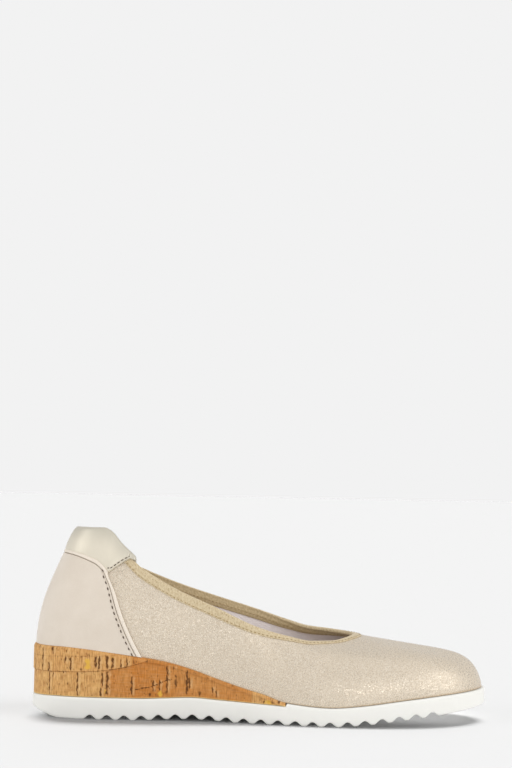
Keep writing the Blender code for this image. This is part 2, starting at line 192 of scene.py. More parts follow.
def traces(u):
    """Section lines of the last at u, each from the feather line up to the rim, with their lengths."""
    along, side = feather_along(u), feather_across(u)
    foot = np.stack([along, side, seat(along) + GAP], axis=-1)
    turn = foot + np.stack([0 * u, 0 * u, shoulder(u)], axis=-1)
    rim_x = rim_along(u)
    rim_z = np.where(u % LOOP <= LAST_ROW, lateral_edge(rim_x), medial_edge(rim_x))
    rim = np.stack([rim_x, rim_across(u), rim_z], axis=-1)
    angle = np.linspace(0, np.pi / 2, TRACE)
    outward = np.cos(angle).clip(0) ** (2 / crown_power(u)[:, None])
    upward = np.sin(angle) ** (2 / wall_power(u)[:, None])
    corner = rim - (turn - foot)
    points = corner[:, None] + outward[..., None] * (turn - rim)[:, None]
    points = points + upward[..., None] * (turn - foot)[:, None]
    steps = np.linalg.norm(np.diff(points, axis=1), axis=2)
    lengths = np.hstack([np.zeros((len(u), 1)), np.cumsum(steps, axis=1)])
    return points, lengths


def place(u, share):
    """Points at shares of the section line of each u; past the rim the line runs straight on."""
    found = np.empty(share.shape + (3,))
    for i, (line, length) in enumerate(zip(*traces(u))):
        reach = share[i].clip(0, 1) * length[-1]
        beyond = (share[i] - 1).clip(0) * length[-1]
        ending = line[-1] - line[-4]
        found[i] = np.stack([np.interp(reach, length, line[:, axis]) for axis in range(3)], axis=-1)
        found[i] += beyond[:, None] * ending / np.linalg.norm(ending)
    return found


def skin(u, share, out=0.0):
    """Points on the last, a row for each u, moved out of it along its normal."""
    u = np.asarray(u, float)
    shape = np.broadcast_shapes((len(u), 1), np.shape(share), np.shape(out))
    share, out = np.broadcast_to(share, shape), np.broadcast_to(out, shape)
    onward = place(u + 0.02, share) - place(u - 0.02, share)
    upward = place(u, share + 0.01) - place(u, share - 0.01)
    normal = np.cross(onward, upward)
    normal /= np.linalg.norm(normal, axis=-1)[..., None]
    return place(u, share) + normal * out[..., None]


def outline(u, reach):
    """Feather line in plan, moved outwards by reach."""
    onward = np.stack([
        feather_along(u + 0.01) - feather_along(u - 0.01),
        feather_across(u + 0.01) - feather_across(u - 0.01)], axis=-1)
    onward /= np.linalg.norm(onward, axis=1)[:, None]
    outwards = np.stack([onward[:, 1], -onward[:, 0]], axis=-1)
    return np.stack([feather_along(u), feather_across(u)], axis=-1) + outwards * np.reshape(reach, (-1, 1))


def ledge(u):
    """Width of the sole's edge beyond the upper, wider where the counter stands on it."""
    return np.interp(feather_along(u), LEDGE_NARROWS, [LEDGE_HEEL, LEDGE_TOE])


ROUND = np.linspace(0, LOOP, PLAN_STEPS * LOOP + 1)
SOLE_PLAN = outline(ROUND, ledge(ROUND))
MIDDLE = np.append((SOLE_PLAN.min(axis=0) + SOLE_PLAN.max(axis=0)) / 2, 0)


def placed(name, data):
    """New object in the scene, at its origin."""
    made = bpy.data.objects.new(name, data)
    bpy.context.scene.collection.objects.link(made)
    return made


def loft(name, rings, paint, wrap=False, caps=(True, True), uv=None, tones=None):
    """Piece through rings of points in millimetres, capped at its ends unless the rings wrap round.

    uv gives each point its place on the surface, tones gives it named values for the material.
    """
    rings = (np.asarray(rings) - MIDDLE) * MM
    count, size = rings.shape[:2]
    index = np.arange(count * size).reshape(count, size)
    here = index if wrap else index[:-1]
    there = np.roll(index, -1, axis=0) if wrap else index[1:]
    quads = np.stack([here, np.roll(here, -1, axis=1), np.roll(there, -1, axis=1), there], axis=-1)
    faces = quads.reshape(-1, 4).tolist()
    if not wrap:
        faces += [index[end].tolist() for end, capped in zip((0, -1), caps) if capped]
    mesh = bpy.data.meshes.new(name)
    mesh.from_pydata(rings.reshape(-1, 3), [], faces)
    if uv is not None:
        corners = np.empty(len(mesh.loops), np.int32)
        mesh.loops.foreach_get("vertex_index", corners)
        places = np.asarray(uv, np.float32).reshape(-1, 2)[corners]
        mesh.uv_layers.new(name="surface").data.foreach_set("uv", places.ravel())
    for tone, values in (tones or {}).items():
        layer = mesh.attributes.new(tone, "FLOAT", "POINT")
        layer.data.foreach_set("value", np.asarray(values, np.float32).ravel())
    work = bmesh.new()
    work.from_mesh(mesh)
    bmesh.ops.remove_doubles(work, verts=work.verts, dist=0.001 * MM)
    bmesh.ops.dissolve_degenerate(work, edges=work.edges, dist=0.0001 * MM)
    bmesh.ops.recalc_face_normals(work, faces=work.faces)
    work.to_mesh(mesh)
    work.free()
    mesh.materials.append(paint)
    mesh.shade_smooth()
    mesh.set_sharp_from_angle(angle=math.radians(SHARP_ANGLE))
    piece = placed(name, mesh)
    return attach(piece, "root")


def linear(hex_colour):
    """Linear colour of an sRGB hex value."""
    parts = [int(hex_colour[i:i + 2], 16) / 255 for i in (1, 3, 5)]
    return [p / 12.92 if p < 0.04045 else ((p + 0.055) / 1.055) ** 2.4 for p in parts] + [1.0]


def wire(node, inputs):
    """Sets a node's inputs by name or number, or links them to a socket or a node's first live output."""
    for key, value in inputs.items():
        if isinstance(value, bpy.types.Node):
            value = next(output for output in value.outputs if output.enabled)
        if isinstance(value, bpy.types.NodeSocket):
            node.id_data.links.new(value, node.inputs[key])
        else:
            node.inputs[key].default_value = value


def add(tree, kind, inputs, **settings):
    """Adds a node to a tree, with its properties and inputs."""
    node = tree.nodes.new(kind)
    for key, value in settings.items():
        setattr(node, key, value)
    wire(node, inputs)
    return node


def material(name):
    """Empty material, what puts nodes into it, its shader and the object's own coordinates."""
    made = bpy.data.materials.new(name)
    made.use_nodes = True
    put = partial(add, made.node_tree)
    shader = made.node_tree.nodes["Principled BSDF"]
    return made, put, shader, put("ShaderNodeTexCoord", {}).outputs["Object"]


# Foiled suede: a split hide with a thin pale-gold foil rubbed into its nap, so it is matt with fine
# glints where it faces the light. Real foil flakes are under 0.2 mm; they are drawn at 0.4 mm to show.
# A thin brown line of painted shade runs along its foot, where it meets the sole.
FOIL_FLAKE = 0.4
FLAKE_LEAN = 0.14
NAP_GRAIN = 0.6
HIDE_PATCH = 22.0
FEATHER_SHADE_SHARE = 0.011
foiled_suede, put, shader, where = material("foiled suede")
feather_shade = put("ShaderNodeAttribute", {}, attribute_name="feather_shade")
nap = put("ShaderNodeTexNoise", {"Vector": where, "Scale": 1 / (NAP_GRAIN * MM), "Detail": 2.0})
patch = put("ShaderNodeTexNoise", {"Vector": where, "Scale": 1 / (HIDE_PATCH * MM), "Detail": 2.0})
flakes = put("ShaderNodeTexVoronoi", {"Vector": where, "Scale": 1 / (FOIL_FLAKE * MM)})
chance = put("ShaderNodeSeparateColor", {"Color": flakes.outputs["Color"]})
shade = put("ShaderNodeMapRange", {"Value": nap, "From Min": 0.34, "From Max": 0.66})
cloudy = put("ShaderNodeMapRange", {"Value": patch, "From Min": 0.35, "From Max": 0.65, "To Max": 0.3})
foil = put("ShaderNodeMapRange", {"Value": chance.outputs["Green"], "From Min": 0.76, "From Max": 0.84})
gilt = put("ShaderNodeMath", {0: foil, 1: 0.1}, operation="MULTIPLY")
# Painted shade: the brown line along the foot of the upper.
feather_shade_share = put("ShaderNodeMath", {0: feather_shade.outputs["Fac"], 1: 0.6}, operation="MULTIPLY")
colour = linear("#BDAE99")
for share, tone in ((shade, "#DDD2C1"), (cloudy, "#D2C4AF"), (gilt, "#F1E6D4"), (feather_shade_share, "#A88A5E")):
    colour = put("ShaderNodeMix", {0: share, 6: colour, 7: linear(tone)}, data_type="RGBA")
metal = put("ShaderNodeMapRange", {"Value": foil, "To Min": 0.3, "To Max": 0.6})
rough = put("ShaderNodeMapRange", {"Value": foil, "To Min": 0.5, "To Max": 0.22})
tilt = put("ShaderNodeVectorMath", {0: flakes.outputs["Color"], 1: (0.5, 0.5, 0.5)}, operation="SUBTRACT")
lean = put("ShaderNodeVectorMath", {0: tilt, "Scale": FLAKE_LEAN}, operation="SCALE")
bump = put("ShaderNodeBump", {"Height": nap, "Strength": 0.3, "Distance": 0.1 * MM})
faced = put("ShaderNodeVectorMath", {0: bump, 1: lean}, operation="ADD")
facet = put("ShaderNodeVectorMath", {0: faced}, operation="NORMALIZE")
wire(shader, {
    "Base Color": colour, "Metallic": metal, "Roughness": rough, "Normal": facet,
    "Sheen Weight": 0.1, "Sheen Roughness": 0.4})

UPPER_RINGS = 16
UPPER_AROUND = np.arange(UPPER_RINGS * LOOP) / UPPER_RINGS
UPPER_SHARES = np.hstack([[0, 0.004, 0.008, 0.013], np.linspace(0.02, 1, 62)])
ring_share = np.hstack([UPPER_SHARES, UPPER_SHARES[::-3]])
ring_out = np.hstack([0 * UPPER_SHARES, 0 * UPPER_SHARES[::-3] - SUEDE])
# Painted shade along the feather line, strongest at the sole and gone a little above it.
foot = np.tile(np.exp(-(ring_share / FEATHER_SHADE_SHARE) ** 2), (len(UPPER_AROUND), 1))
rings = skin(UPPER_AROUND, ring_share, ring_out)
upper = loft("suede_upper", rings, foiled_suede, wrap=True, tones={"feather_shade": foot})
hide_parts("upper")

# Lining: thin, pale pinkish knitted textile, glued to the back of the suede all round.
# It shows inside the opening, below the binding that covers its raw edge.
LINING_RIB = 1.1
LINING_DROP = 3.5
WAVE_UNIT = 2 * math.pi / 20
LINING_POINTS = 32
LINING_GLUE = 0.05


def toned(name, patch, detail, low, high):
    """Material that drifts between two tones over patches of that many millimetres."""
    made, put, shader, where = material(name)
    drift = put("ShaderNodeTexNoise", {"Vector": where, "Scale": 1 / (patch * MM), "Detail": detail})
    colour = put("ShaderNodeMix", {0: drift, 6: linear(low), 7: linear(high)}, data_type="RGBA")
    return made, put, shader, where, drift, colour


def girth(u):
    """Length of the section line at u, from the feather line to the rim."""
    return traces(np.asarray(u, float))[1][:, -1]


# Knitted textile: pale, matt and soft, with fine ribs that catch a little light.
lining_cloth, put, shader, where, _, colour = toned("lining textile", 0.6, 2.0, "#E4DAD8", "#F2EAE9")
knit = put("ShaderNodeTexWave", {
    "Vector": where, "Scale": WAVE_UNIT / (LINING_RIB * MM), "Distortion": 1.2, "Detail": 1.0},
    bands_direction="Z")
bump = put("ShaderNodeBump", {"Height": knit.outputs["Fac"], "Strength": 0.3, "Distance": 0.15 * MM})
wire(shader, {"Base Color": colour, "Normal": bump, "Roughness": 0.85, "Sheen Weight": 0.2})

lining_u = UPPER_AROUND[::2]
lining_shares = np.linspace(0, 1, LINING_POINTS) * (1 - LINING_DROP / girth(lining_u))[:, None]
ring_share = np.hstack([lining_shares, lining_shares[:, ::-1]])
ring_out = np.repeat([-SUEDE - LINING_GLUE, -WALL], LINING_POINTS)
lining = loft("textile_lining", skin(lining_u, ring_share, ring_out), lining_cloth, wrap=True)

# Heel counter: a nubuck panel on the back of the upper from seam to seam, its front edges turned in
# and sewn down close to the fold. The panel is 1 mm thick and its cut edges are rounded.
COUNTER_THICK = 1.0
COUNTER_BACK = 0.796
COUNTER_FRONT = 0.685
EDGE_ROUND = 0.7
FOLD_PLACE = 0.9
FOLD_RISE = 0.35
FOLD_WIDTH = 0.55
STITCH_INSET = 2.0
STITCH_SINK = 0.22
SINK_WIDTH = 0.35
EDGE_ZONE = 4

# Front edge of the counter on each side: rise is the share of its height, row the place among SECTIONS.
Seam = namedtuple("Seam", "rise row")
SEAM = (
    Seam(0.0, 4.0),
    Seam(0.3, 3.75),
    Seam(0.6, 3.49),
    Seam(0.85, 3.27),
    Seam(1.0, 3.02),
)
SEAM_HEAD = SEAM[-1].row
seam = steady_curve([row.rise for row in SEAM], [row.row for row in SEAM])
PACE_FROM, PACE_TO = place(np.array([3.5, 3.6]), np.array([[0.4], [0.4]]))[:, 0]
PACE = np.linalg.norm(PACE_TO - PACE_FROM) / 0.1
EDGE_ROWS = np.array([0.0, 0.05, 0.15, 0.3, 0.5, 0.7, 0.9, 1.1, 1.4, 1.7, 2.0, 2.3, 2.7, 3.2])

# Nubuck: buffed leather, even and matt, with a faint bloom where it turns away.
nubuck, put, shader, where = material("nubuck")
nap = put("ShaderNodeTexNoise", {"Vector": where, "Scale": 1 / (0.7 * MM), "Detail": 4.0})
patch = put("ShaderNodeTexNoise", {"Vector": where, "Scale": 1 / (14.0 * MM), "Detail": 3.0})
mixed = put("ShaderNodeMath", {0: nap, 1: 0.45, 2: patch}, operation="MULTIPLY_ADD")
shade = put("ShaderNodeMapRange", {"Value": mixed, "From Min": 0.5, "From Max": 0.95})
blend = put("ShaderNodeMix", {0: shade, 6: linear("#D5C9BA"), 7: linear("#DCD1C3")}, data_type="RGBA")
bump = put("ShaderNodeBump", {"Height": nap, "Strength": 0.25, "Distance": 0.08 * MM})
wire(shader, {
    "Base Color": blend, "Normal": bump, "Roughness": 0.82, "Sheen Weight": 0.25,
    "Sheen Roughness": 0.5})


def counter_top(u):
    """Share of the section line at which the counter ends."""
    return COUNTER_BACK - (COUNTER_BACK - COUNTER_FRONT) * (u / SEAM_HEAD) ** 4


def rounded(distance, radius):
    """Height of a rounded edge, from 0 at the edge to 1 a radius inside it."""
    return np.sqrt(1 - (1 - np.clip(distance / radius, 0, 1)) ** 2)


def swell(distance, place_of, width):
    """Soft bump across a line."""
    return np.exp(-((distance - place_of) / width) ** 2)


def spots(u, share, out):
    """Points on the last where u differs from point to point."""
    u, share, out = np.broadcast_arrays(u, share, out)
    return skin(u.ravel(), share.reshape(-1, 1), out.reshape(-1, 1)).reshape(u.shape + (3,))


half_width = SEAM_HEAD * PACE
height = COUNTER_FRONT * girth([SEAM_HEAD])[0]
half_turns = np.hstack([
    np.linspace(0, 1 - EDGE_ZONE / half_width, 70), 1 - EDGE_ROWS[::-1] / half_width])
turns = np.hstack([-half_turns[:0:-1], half_turns])
rises = np.hstack([np.linspace(0, 1 - EDGE_ZONE / height, 44), 1 - EDGE_ROWS[::-1] / height])
across, climb = np.meshgrid(turns, rises, indexing="ij")
panel_u = across * seam(climb)
panel_share = climb * counter_top(across * SEAM_HEAD)
from_front = (1 - np.abs(across)) * seam(climb) * PACE
from_top = (1 - climb) * height
panel_out = COUNTER_THICK * rounded(np.minimum(from_front, from_top), EDGE_ROUND)
panel_out += FOLD_RISE * swell(from_front, FOLD_PLACE, FOLD_WIDTH)
panel_out -= STITCH_SINK * swell(from_front, STITCH_INSET, SINK_WIDTH)
rings = np.hstack([
    spots(panel_u, panel_share, GAP + panel_out),
    spots(panel_u, panel_share, GAP)[:, ::-1]])
counter = loft("nubuck_counter", rings, nubuck)
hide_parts("heel_counter")

# Counter strip: a narrow cream leather tape laid against the counter's front edges and over its top,
# glued down beside the seams. Its edges are skived round and left raw.
STRIP_FRONT = 3.1
STRIP_TOP = 1.5
STRIP_THICK = 1.2
RAW_EDGE_AND_SHADE_WIDTH = 0.06
STRIP_PROFILE = np.array([0.0, 0.02, 0.08, 0.18, 0.35, 0.5, 0.65, 0.82, 0.92, 0.98, 1.0])

# Smooth leather: pale with a low sheen; brown is painted along its edges, partly the raw cut and partly
# shade where it meets the leather beside it.
smooth_leather, put, shader, _, pores, colour = toned(
    "cream smooth leather", 0.5, 3.0, "#DFD3C3", "#EAE0D2")
rim = put("ShaderNodeAttribute", {}, attribute_name="raw_edge_and_shade").outputs["Fac"]
edge_shaded = put("ShaderNodeMix", {0: rim, 6: colour, 7: linear("#A08B71")}, data_type="RGBA")
bump = put("ShaderNodeBump", {"Height": pores, "Strength": 0.2, "Distance": 0.06 * MM})
wire(shader, {"Base Color": edge_shaded, "Normal": bump, "Roughness": 0.55})


def strip_path(front, above):
    """Places and shares along the counter's border, so many millimetres in front of and above it."""
    up = np.linspace(0, 1, 60)
    up_u = seam(up) + front / PACE
    up_share = up * COUNTER_FRONT
    head = SEAM_HEAD + front / PACE
    over_u = np.linspace(1, -1, 161) * head
    over_share = counter_top(over_u * SEAM_HEAD / head) + above / girth(over_u)
    u = np.hstack([up_u, over_u, -up_u[::-1]])
    return u, np.hstack([up_share, over_share, up_share[::-1]])


near, far = strip_path(0.1, 0.1), strip_path(GAP + STRIP_FRONT, GAP + STRIP_TOP)
width = np.hstack([STRIP_PROFILE, STRIP_PROFILE[::-1]])
tape_u = near[0][:, None] + (far[0] - near[0])[:, None] * width
tape_share = near[1][:, None] + (far[1] - near[1])[:, None] * width
crown = (1 - np.abs(2 * STRIP_PROFILE - 1) ** 5) ** 0.5
tape_out = GAP + STRIP_THICK * np.hstack([crown, 0 * crown])
# Brown along both edges of the strip: raw cut edge and painted shade at its joints.
raw_edge_and_shade = np.clip(1 - np.minimum(width, 1 - width) / RAW_EDGE_AND_SHADE_WIDTH, 0, 1)
strip = loft(
    "leather_strip", spots(tape_u, tape_share, tape_out), smooth_leather,
    tones={"raw_edge_and_shade": np.tile(raw_edge_and_shade, (len(tape_u), 1))})
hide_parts("counter_strip")

# Counter stitches: one row of dark brown bonded thread along each folded front edge, ending in a
# short turn at the top corner. Each stitch is a plump spindle of thread let into the leather.
STITCH_PITCH = 3.4
STITCH_LENGTH = 1.9
THREAD_THICK = 0.7
THREAD_LIFT = 0.25
ROW_FROM = 0.02
ROW_TO = 0.955
ROW_END = 0.5

# Bonded thread: dark brown, with a slight shine on top of each stitch.
brown_thread, _, shader, _, _, colour = toned("brown bonded thread", 0.35, 2.0, "#33241A", "#5E4830")
wire(shader, {"Base Color": colour, "Roughness": 0.5})


def maker_tree(name, source, numbers, paint, result):
    """Geometry node tree with a mesh, numbers and a material going in and a mesh coming out."""
    tree = bpy.data.node_groups.new(name, "GeometryNodeTree")
    kinds = [(source, "Geometry"), *((number, "Float") for number in numbers), (paint, "Material")]
    for socket, kind in kinds:
        tree.interface.new_socket(socket, in_out="INPUT", socket_type="NodeSocket" + kind)
    tree.interface.new_socket(result, in_out="OUTPUT", socket_type="NodeSocketGeometry")
    put = partial(add, tree)
    return tree, put, put("NodeGroupInput", {}).outputs


def stitch_nodes():
    """Node tree that sets spindle stitches along the lines it is given."""
    numbers = ("Pitch", "Length", "Thickness")
    tree, put, given = maker_tree("stitch row", "Lines", numbers, "Thread", "Stitches")
    curve = put("GeometryNodeMeshToCurve", {"Mesh": given["Lines"]})
    points = put("GeometryNodeResampleCurve", {"Curve": curve, "Length": given["Pitch"]}, mode="LENGTH")
    spindle = put("GeometryNodeMeshUVSphere", {"Segments": 8, "Rings": 6, "Radius": 0.5})
    tangent = put("GeometryNodeInputTangent", {})
    turned = put("FunctionNodeAlignRotationToVector", {"Vector": tangent}, axis="X")
    spread = put("FunctionNodeRandomValue", {2: 0.9, 3: 1.08, "Seed": 4}, data_type="FLOAT")
    long = put("ShaderNodeMath", {0: given["Length"], 1: spread}, operation="MULTIPLY")
    size = put("ShaderNodeCombineXYZ", {"X": long, "Y": given["Thickness"], "Z": given["Thickness"]})
    sewn = put("GeometryNodeInstanceOnPoints", {
        "Points": points, "Instance": spindle, "Rotation": turned, "Scale": size})
    plain = put("GeometryNodeRealizeInstances", {"Geometry": sewn})
    smooth = put("GeometryNodeSetShadeSmooth", {"Geometry": plain})
    dyed = put("GeometryNodeSetMaterial", {"Geometry": smooth, "Material": given["Thread"]})
    put("NodeGroupOutput", {"Stitches": dyed})
    return tree


STITCH_ROW = stitch_nodes()


def grown(name, mesh, tree, values):
    """Plain piece that a node tree makes from a mesh, with the tree's inputs set by name."""
    maker = placed(name, mesh)
    modifier = maker.modifiers.new("maker", "NODES")
    modifier.node_group = tree
    for item in tree.interface.items_tree:
        if item.name in values:
            modifier[item.identifier] = values[item.name]
    seen = maker.evaluated_get(bpy.context.evaluated_depsgraph_get())
    result = bpy.data.meshes.new_from_object(seen)
    maker.modifiers.remove(modifier)
    maker.data = result
    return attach(maker, "root")


def sew(name, lines, pitch, length, thick, thread):
    """Rows of stitches along lines of points in millimetres."""
    mesh = bpy.data.meshes.new(name)
    corners = np.cumsum([0] + [len(line) for line in lines])
    edges = [(i, i + 1) for a, b in zip(corners[:-1], corners[1:]) for i in range(a, b - 1)]
    mesh.from_pydata((np.concatenate(lines) - MIDDLE) * MM, edges, [])
    return grown(name, mesh, STITCH_ROW, {
        "Pitch": pitch * MM, "Length": length * MM, "Thickness": thick * MM, "Thread": thread})


row_rise = np.linspace(ROW_FROM, ROW_TO, 60)
row_u = seam(row_rise) - STITCH_INSET / PACE
row_share = row_rise * COUNTER_FRONT
row_u = np.append(row_u, SEAM_HEAD - ROW_END / PACE)
row_share = np.append(row_share, COUNTER_FRONT)
row_out = GAP + COUNTER_THICK - STITCH_SINK + THREAD_LIFT * THREAD_THICK
counter_rows = [spots(side * row_u, row_share, row_out) for side in (1, -1)]
counter_stitches = sew(
    "counter_stitches", counter_rows, STITCH_PITCH, STITCH_LENGTH, THREAD_THICK, brown_thread)

# Heel collar: soft foam under pearl-finished leather, folded over the top of the heel. Its lower edge
# is tucked behind the strip; on each side its front edge is turned under and sewn, out to a raised tip.
COLLAR_TIP = 3.75
COLLAR_TIP_MEDIAL = 3.6
COLLAR_WING = 0.14
COLLAR_PAD = 1.7
COLLAR_CREST = 3.2
COLLAR_FLARE = 0.25
COLLAR_FOLD = 0.8
COLLAR_FOLD_RISE = 0.5
COLLAR_FOLD_WIDTH = 0.6
COLLAR_STITCH = 1.8
COLLAR_SINK = 0.3
COLLAR_SINK_WIDTH = 0.4
COLLAR_ROUND = 0.5
COLLAR_TUCK = 0.6
WING_DROP = 0.4
WING_RISE = 1.9
TAPE_ROOM = 0.5
TIP_ROUND = 1.5
PAD_EDGE = 0.35
PAD_FULL = 9.0
PAD_FULL_SEWN = 5.0
TIP_THIN = 0.55
CREST_THIN = 0.35
SEWN_FROM = 0.15
CREST_SHADE_FALL = 7.0
FACE_POINTS = 28
CREST_POINTS = 21

# Pearl leather: a soft wide shine from its metallic finish, with grey shade painted over the crest.
pearl_leather, put, shader, where, _, colour = toned("pearl leather", 9.0, 2.0, "#D8D0BE", "#E2DAC9")
cells = put("ShaderNodeTexVoronoi", {"Vector": where, "Scale": 1 / (1.1 * MM)})
# The crest attribute holds grey shade painted over the top of the collar.
crest = put("ShaderNodeAttribute", {}, attribute_name="crest").outputs["Fac"]
crest_shaded = put("ShaderNodeMix", {0: crest, 6: colour, 7: linear("#A9A598")}, data_type="RGBA")
bump = put("ShaderNodeBump", {"Height": cells, "Strength": 0.12, "Distance": 0.05 * MM})
wire(shader, {
    "Base Color": crest_shaded, "Normal": bump, "Metallic": 0.4, "Roughness": 0.45, "Coat Weight": 0.1,
    "Coat Roughness": 0.4})

collar_corner = SEAM_HEAD + (STRIP_FRONT + 2 * GAP) / PACE


def collar_front(u):
    """How far the collar reaches past its corner on the side of u, in rows of SECTIONS."""
    return np.where(u > 0, COLLAR_TIP, COLLAR_TIP_MEDIAL) - collar_corner


def past_corner(u, reach):
    """Share of the way from the collar's corner to a place that far beyond it."""
    return np.clip((np.abs(u) - collar_corner) / reach, 0, 1)


def collar_low(u):
    """Share at which the collar ends at u: above the strip, then up along its front edge to the rim."""
    span = girth(u)
    beside = np.minimum(np.abs(u), collar_corner)
    above_strip = counter_top(beside * SEAM_HEAD / collar_corner) + (STRIP_TOP + GAP - COLLAR_TUCK) / span
    to_rim = past_corner(u, collar_front(u) - COLLAR_WING)
    to_tip = np.clip((np.abs(u) - collar_corner - collar_front(u)) / COLLAR_WING + 1, 0, 1)
    return above_strip + (1 - WING_DROP / span - above_strip) * to_rim + WING_RISE * to_tip / span


def collar_seat(u):
    """Distance of the collar's inner face from the wall, with room for the binding's end beneath it."""
    return GAP + TAPE_ROOM * past_corner(u, 0.5 * collar_front(u))


def collar_pad(u, from_low, face):
    """Thickness of the padding, so many millimetres above the collar's lower edge."""
    pad = COLLAR_PAD * (1 - TIP_THIN * past_corner(u, collar_front(u)) ** 2)
    sewn = np.clip((np.abs(u) - collar_corner + SEWN_FROM) / SEWN_FROM, 0, 1)
    full = PAD_EDGE + (1 - PAD_EDGE) * rounded(from_low, PAD_FULL - (PAD_FULL - PAD_FULL_SEWN) * sewn)
    lean = 1 - CREST_THIN * (from_low / face).clip(0, 1) ** 3
    fold = COLLAR_FOLD_RISE * swell(from_low, COLLAR_FOLD, COLLAR_FOLD_WIDTH)
    sink = COLLAR_SINK * swell(from_low, COLLAR_STITCH, COLLAR_SINK_WIDTH)
    return (pad * full * lean + sewn * (fold - sink)) * rounded(from_low, COLLAR_ROUND)


def collar_rings(u):
    """Outline of the collar at each u: up its outside, over its crest, down and up its inside, with the
    shade painted near its crest.
    """
    span = girth(u)[:, None]
    low = collar_low(u)[:, None]
    seated = collar_seat(u)[:, None]
    shoulder_share = np.maximum(1, low + 0.5 / span)
    face = (shoulder_share - low) * span
    climb = face * np.linspace(0, 1, FACE_POINTS) ** 1.6
    side_share = low + climb / span
    side_out = seated + collar_pad(u[:, None], climb, face)
    crest = COLLAR_CREST * (1 + COLLAR_FLARE * past_corner(u, collar_front(u))[:, None] ** 2) / span
    arc = np.linspace(0, np.pi, CREST_POINTS)[1:-1]
    over_share = shoulder_share + (1 + crest - shoulder_share) * np.sin(arc)
    over_out = -WALL / 2 + (WALL / 2 + side_out[:, -1:]) * np.cos(arc)
    hollow = 1 + (GAP + seated) / span
    share = np.hstack([side_share, over_share, side_share[:, ::-1], hollow, hollow])
    out = np.hstack([side_out, over_out, -WALL - side_out[:, ::-1], -WALL - seated, seated])
    # Painted shade: full at the crest, fading down both faces.
    crest_shade = np.exp(-((1 + crest - share) * span / CREST_SHADE_FALL).clip(0) ** 2)
    return skin(u, share, out), crest_shade


lateral_u = np.linspace(collar_corner, COLLAR_TIP, 60)
medial_u = -np.linspace(collar_corner, COLLAR_TIP_MEDIAL, 50)
collar_u = np.hstack([medial_u[:0:-1], np.linspace(-collar_corner, collar_corner, 150), lateral_u[1:]])
rings, crest_shade = collar_rings(collar_u)
to_end = (collar_front(collar_u) + collar_corner - np.abs(collar_u)) * PACE
shrink = rounded(to_end, TIP_ROUND).clip(0.02)[:, None, None]
centre = rings.mean(axis=1, keepdims=True)
# The crest tone is painted shade.
collar = loft(
    "padded_collar", centre + (rings - centre) * shrink, pearl_leather, tones={"crest": 0.5 * crest_shade})
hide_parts("heel_collar")

# Collar stitches: one row of the brown thread through the turned front edge on each side of the collar,
# from above the strip out to the tip.
COLLAR_PITCH = 2.1
COLLAR_STITCH_LENGTH = 1.6
COLLAR_THREAD = 0.6
COLLAR_THREAD_LIFT = 0.2
collar_rows = []
for side, tip in ((1, COLLAR_TIP), (-1, COLLAR_TIP_MEDIAL)):
    front_u = side * np.linspace(collar_corner - 0.03, tip - COLLAR_WING - 0.02, 30)
    front_low, front_span = collar_low(front_u), girth(front_u)
    pad = collar_pad(front_u, COLLAR_STITCH, (1 - front_low) * front_span)
    front_out = collar_seat(front_u) + pad + COLLAR_THREAD_LIFT * COLLAR_THREAD
    collar_rows.append(spots(front_u, front_low + COLLAR_STITCH / front_span, front_out))
collar_stitches = sew(
    "collar_stitches", collar_rows, COLLAR_PITCH, COLLAR_STITCH_LENGTH, COLLAR_THREAD, brown_thread)

# Topline binding: woven gold tape folded over the raw rim, from under one collar tip round the throat
# to the other, deeper inside than outside, and sewn through near its lower edges.
BINDING_OUTSIDE = 5.0
BINDING_FLANK = 3.0
BINDING_FRONT = 4.4
LEG_ROWS = (6.0, 7.6, 10.5, LAST_ROW)
BINDING_INSIDE = 5.5
TAPE_THICK = 0.55
TAPE_CLEAR = 0.05
TAPE_FOLD = 0.85
TAPE_HIDDEN = 0.72
WEAVE_PITCH = 0.9
KNOT_PITCH = 1.3
TAPE_ROUND = 0.45
TAPE_RINGS = 560
LEG_POINTS = 13
FOLD_POINTS = 13
INNER_POINTS = 15

# Woven tape: matt gold broken up by its threads and small dark knots, with browner shade painted on the
# inside.
gold_tape, put, shader, _ = material("woven gold tape")
flat = put("ShaderNodeUVMap", {}, uv_map="surface")
inner = put("ShaderNodeAttribute", {}, attribute_name="inner").outputs["Fac"]
warp, weft = (
    put("ShaderNodeTexWave", {
        "Vector": flat, "Scale": WAVE_UNIT / pitch, "Distortion": 1.5, "Detail": 1.0}, bands_direction=way)
    for pitch, way in ((WEAVE_PITCH, "X"), (0.8 * WEAVE_PITCH, "Y")))
weave = put("ShaderNodeMath", {0: warp.outputs["Fac"], 1: weft.outputs["Fac"]}, operation="MULTIPLY")
slub = put("ShaderNodeTexNoise", {"Vector": flat, "Scale": 0.9, "Detail": 2.0})
mixed = put("ShaderNodeMath", {0: weave, 1: 0.4, 2: slub}, operation="MULTIPLY_ADD")
shade = put("ShaderNodeMapRange", {"Value": mixed, "From Min": 0.35, "From Max": 0.9})
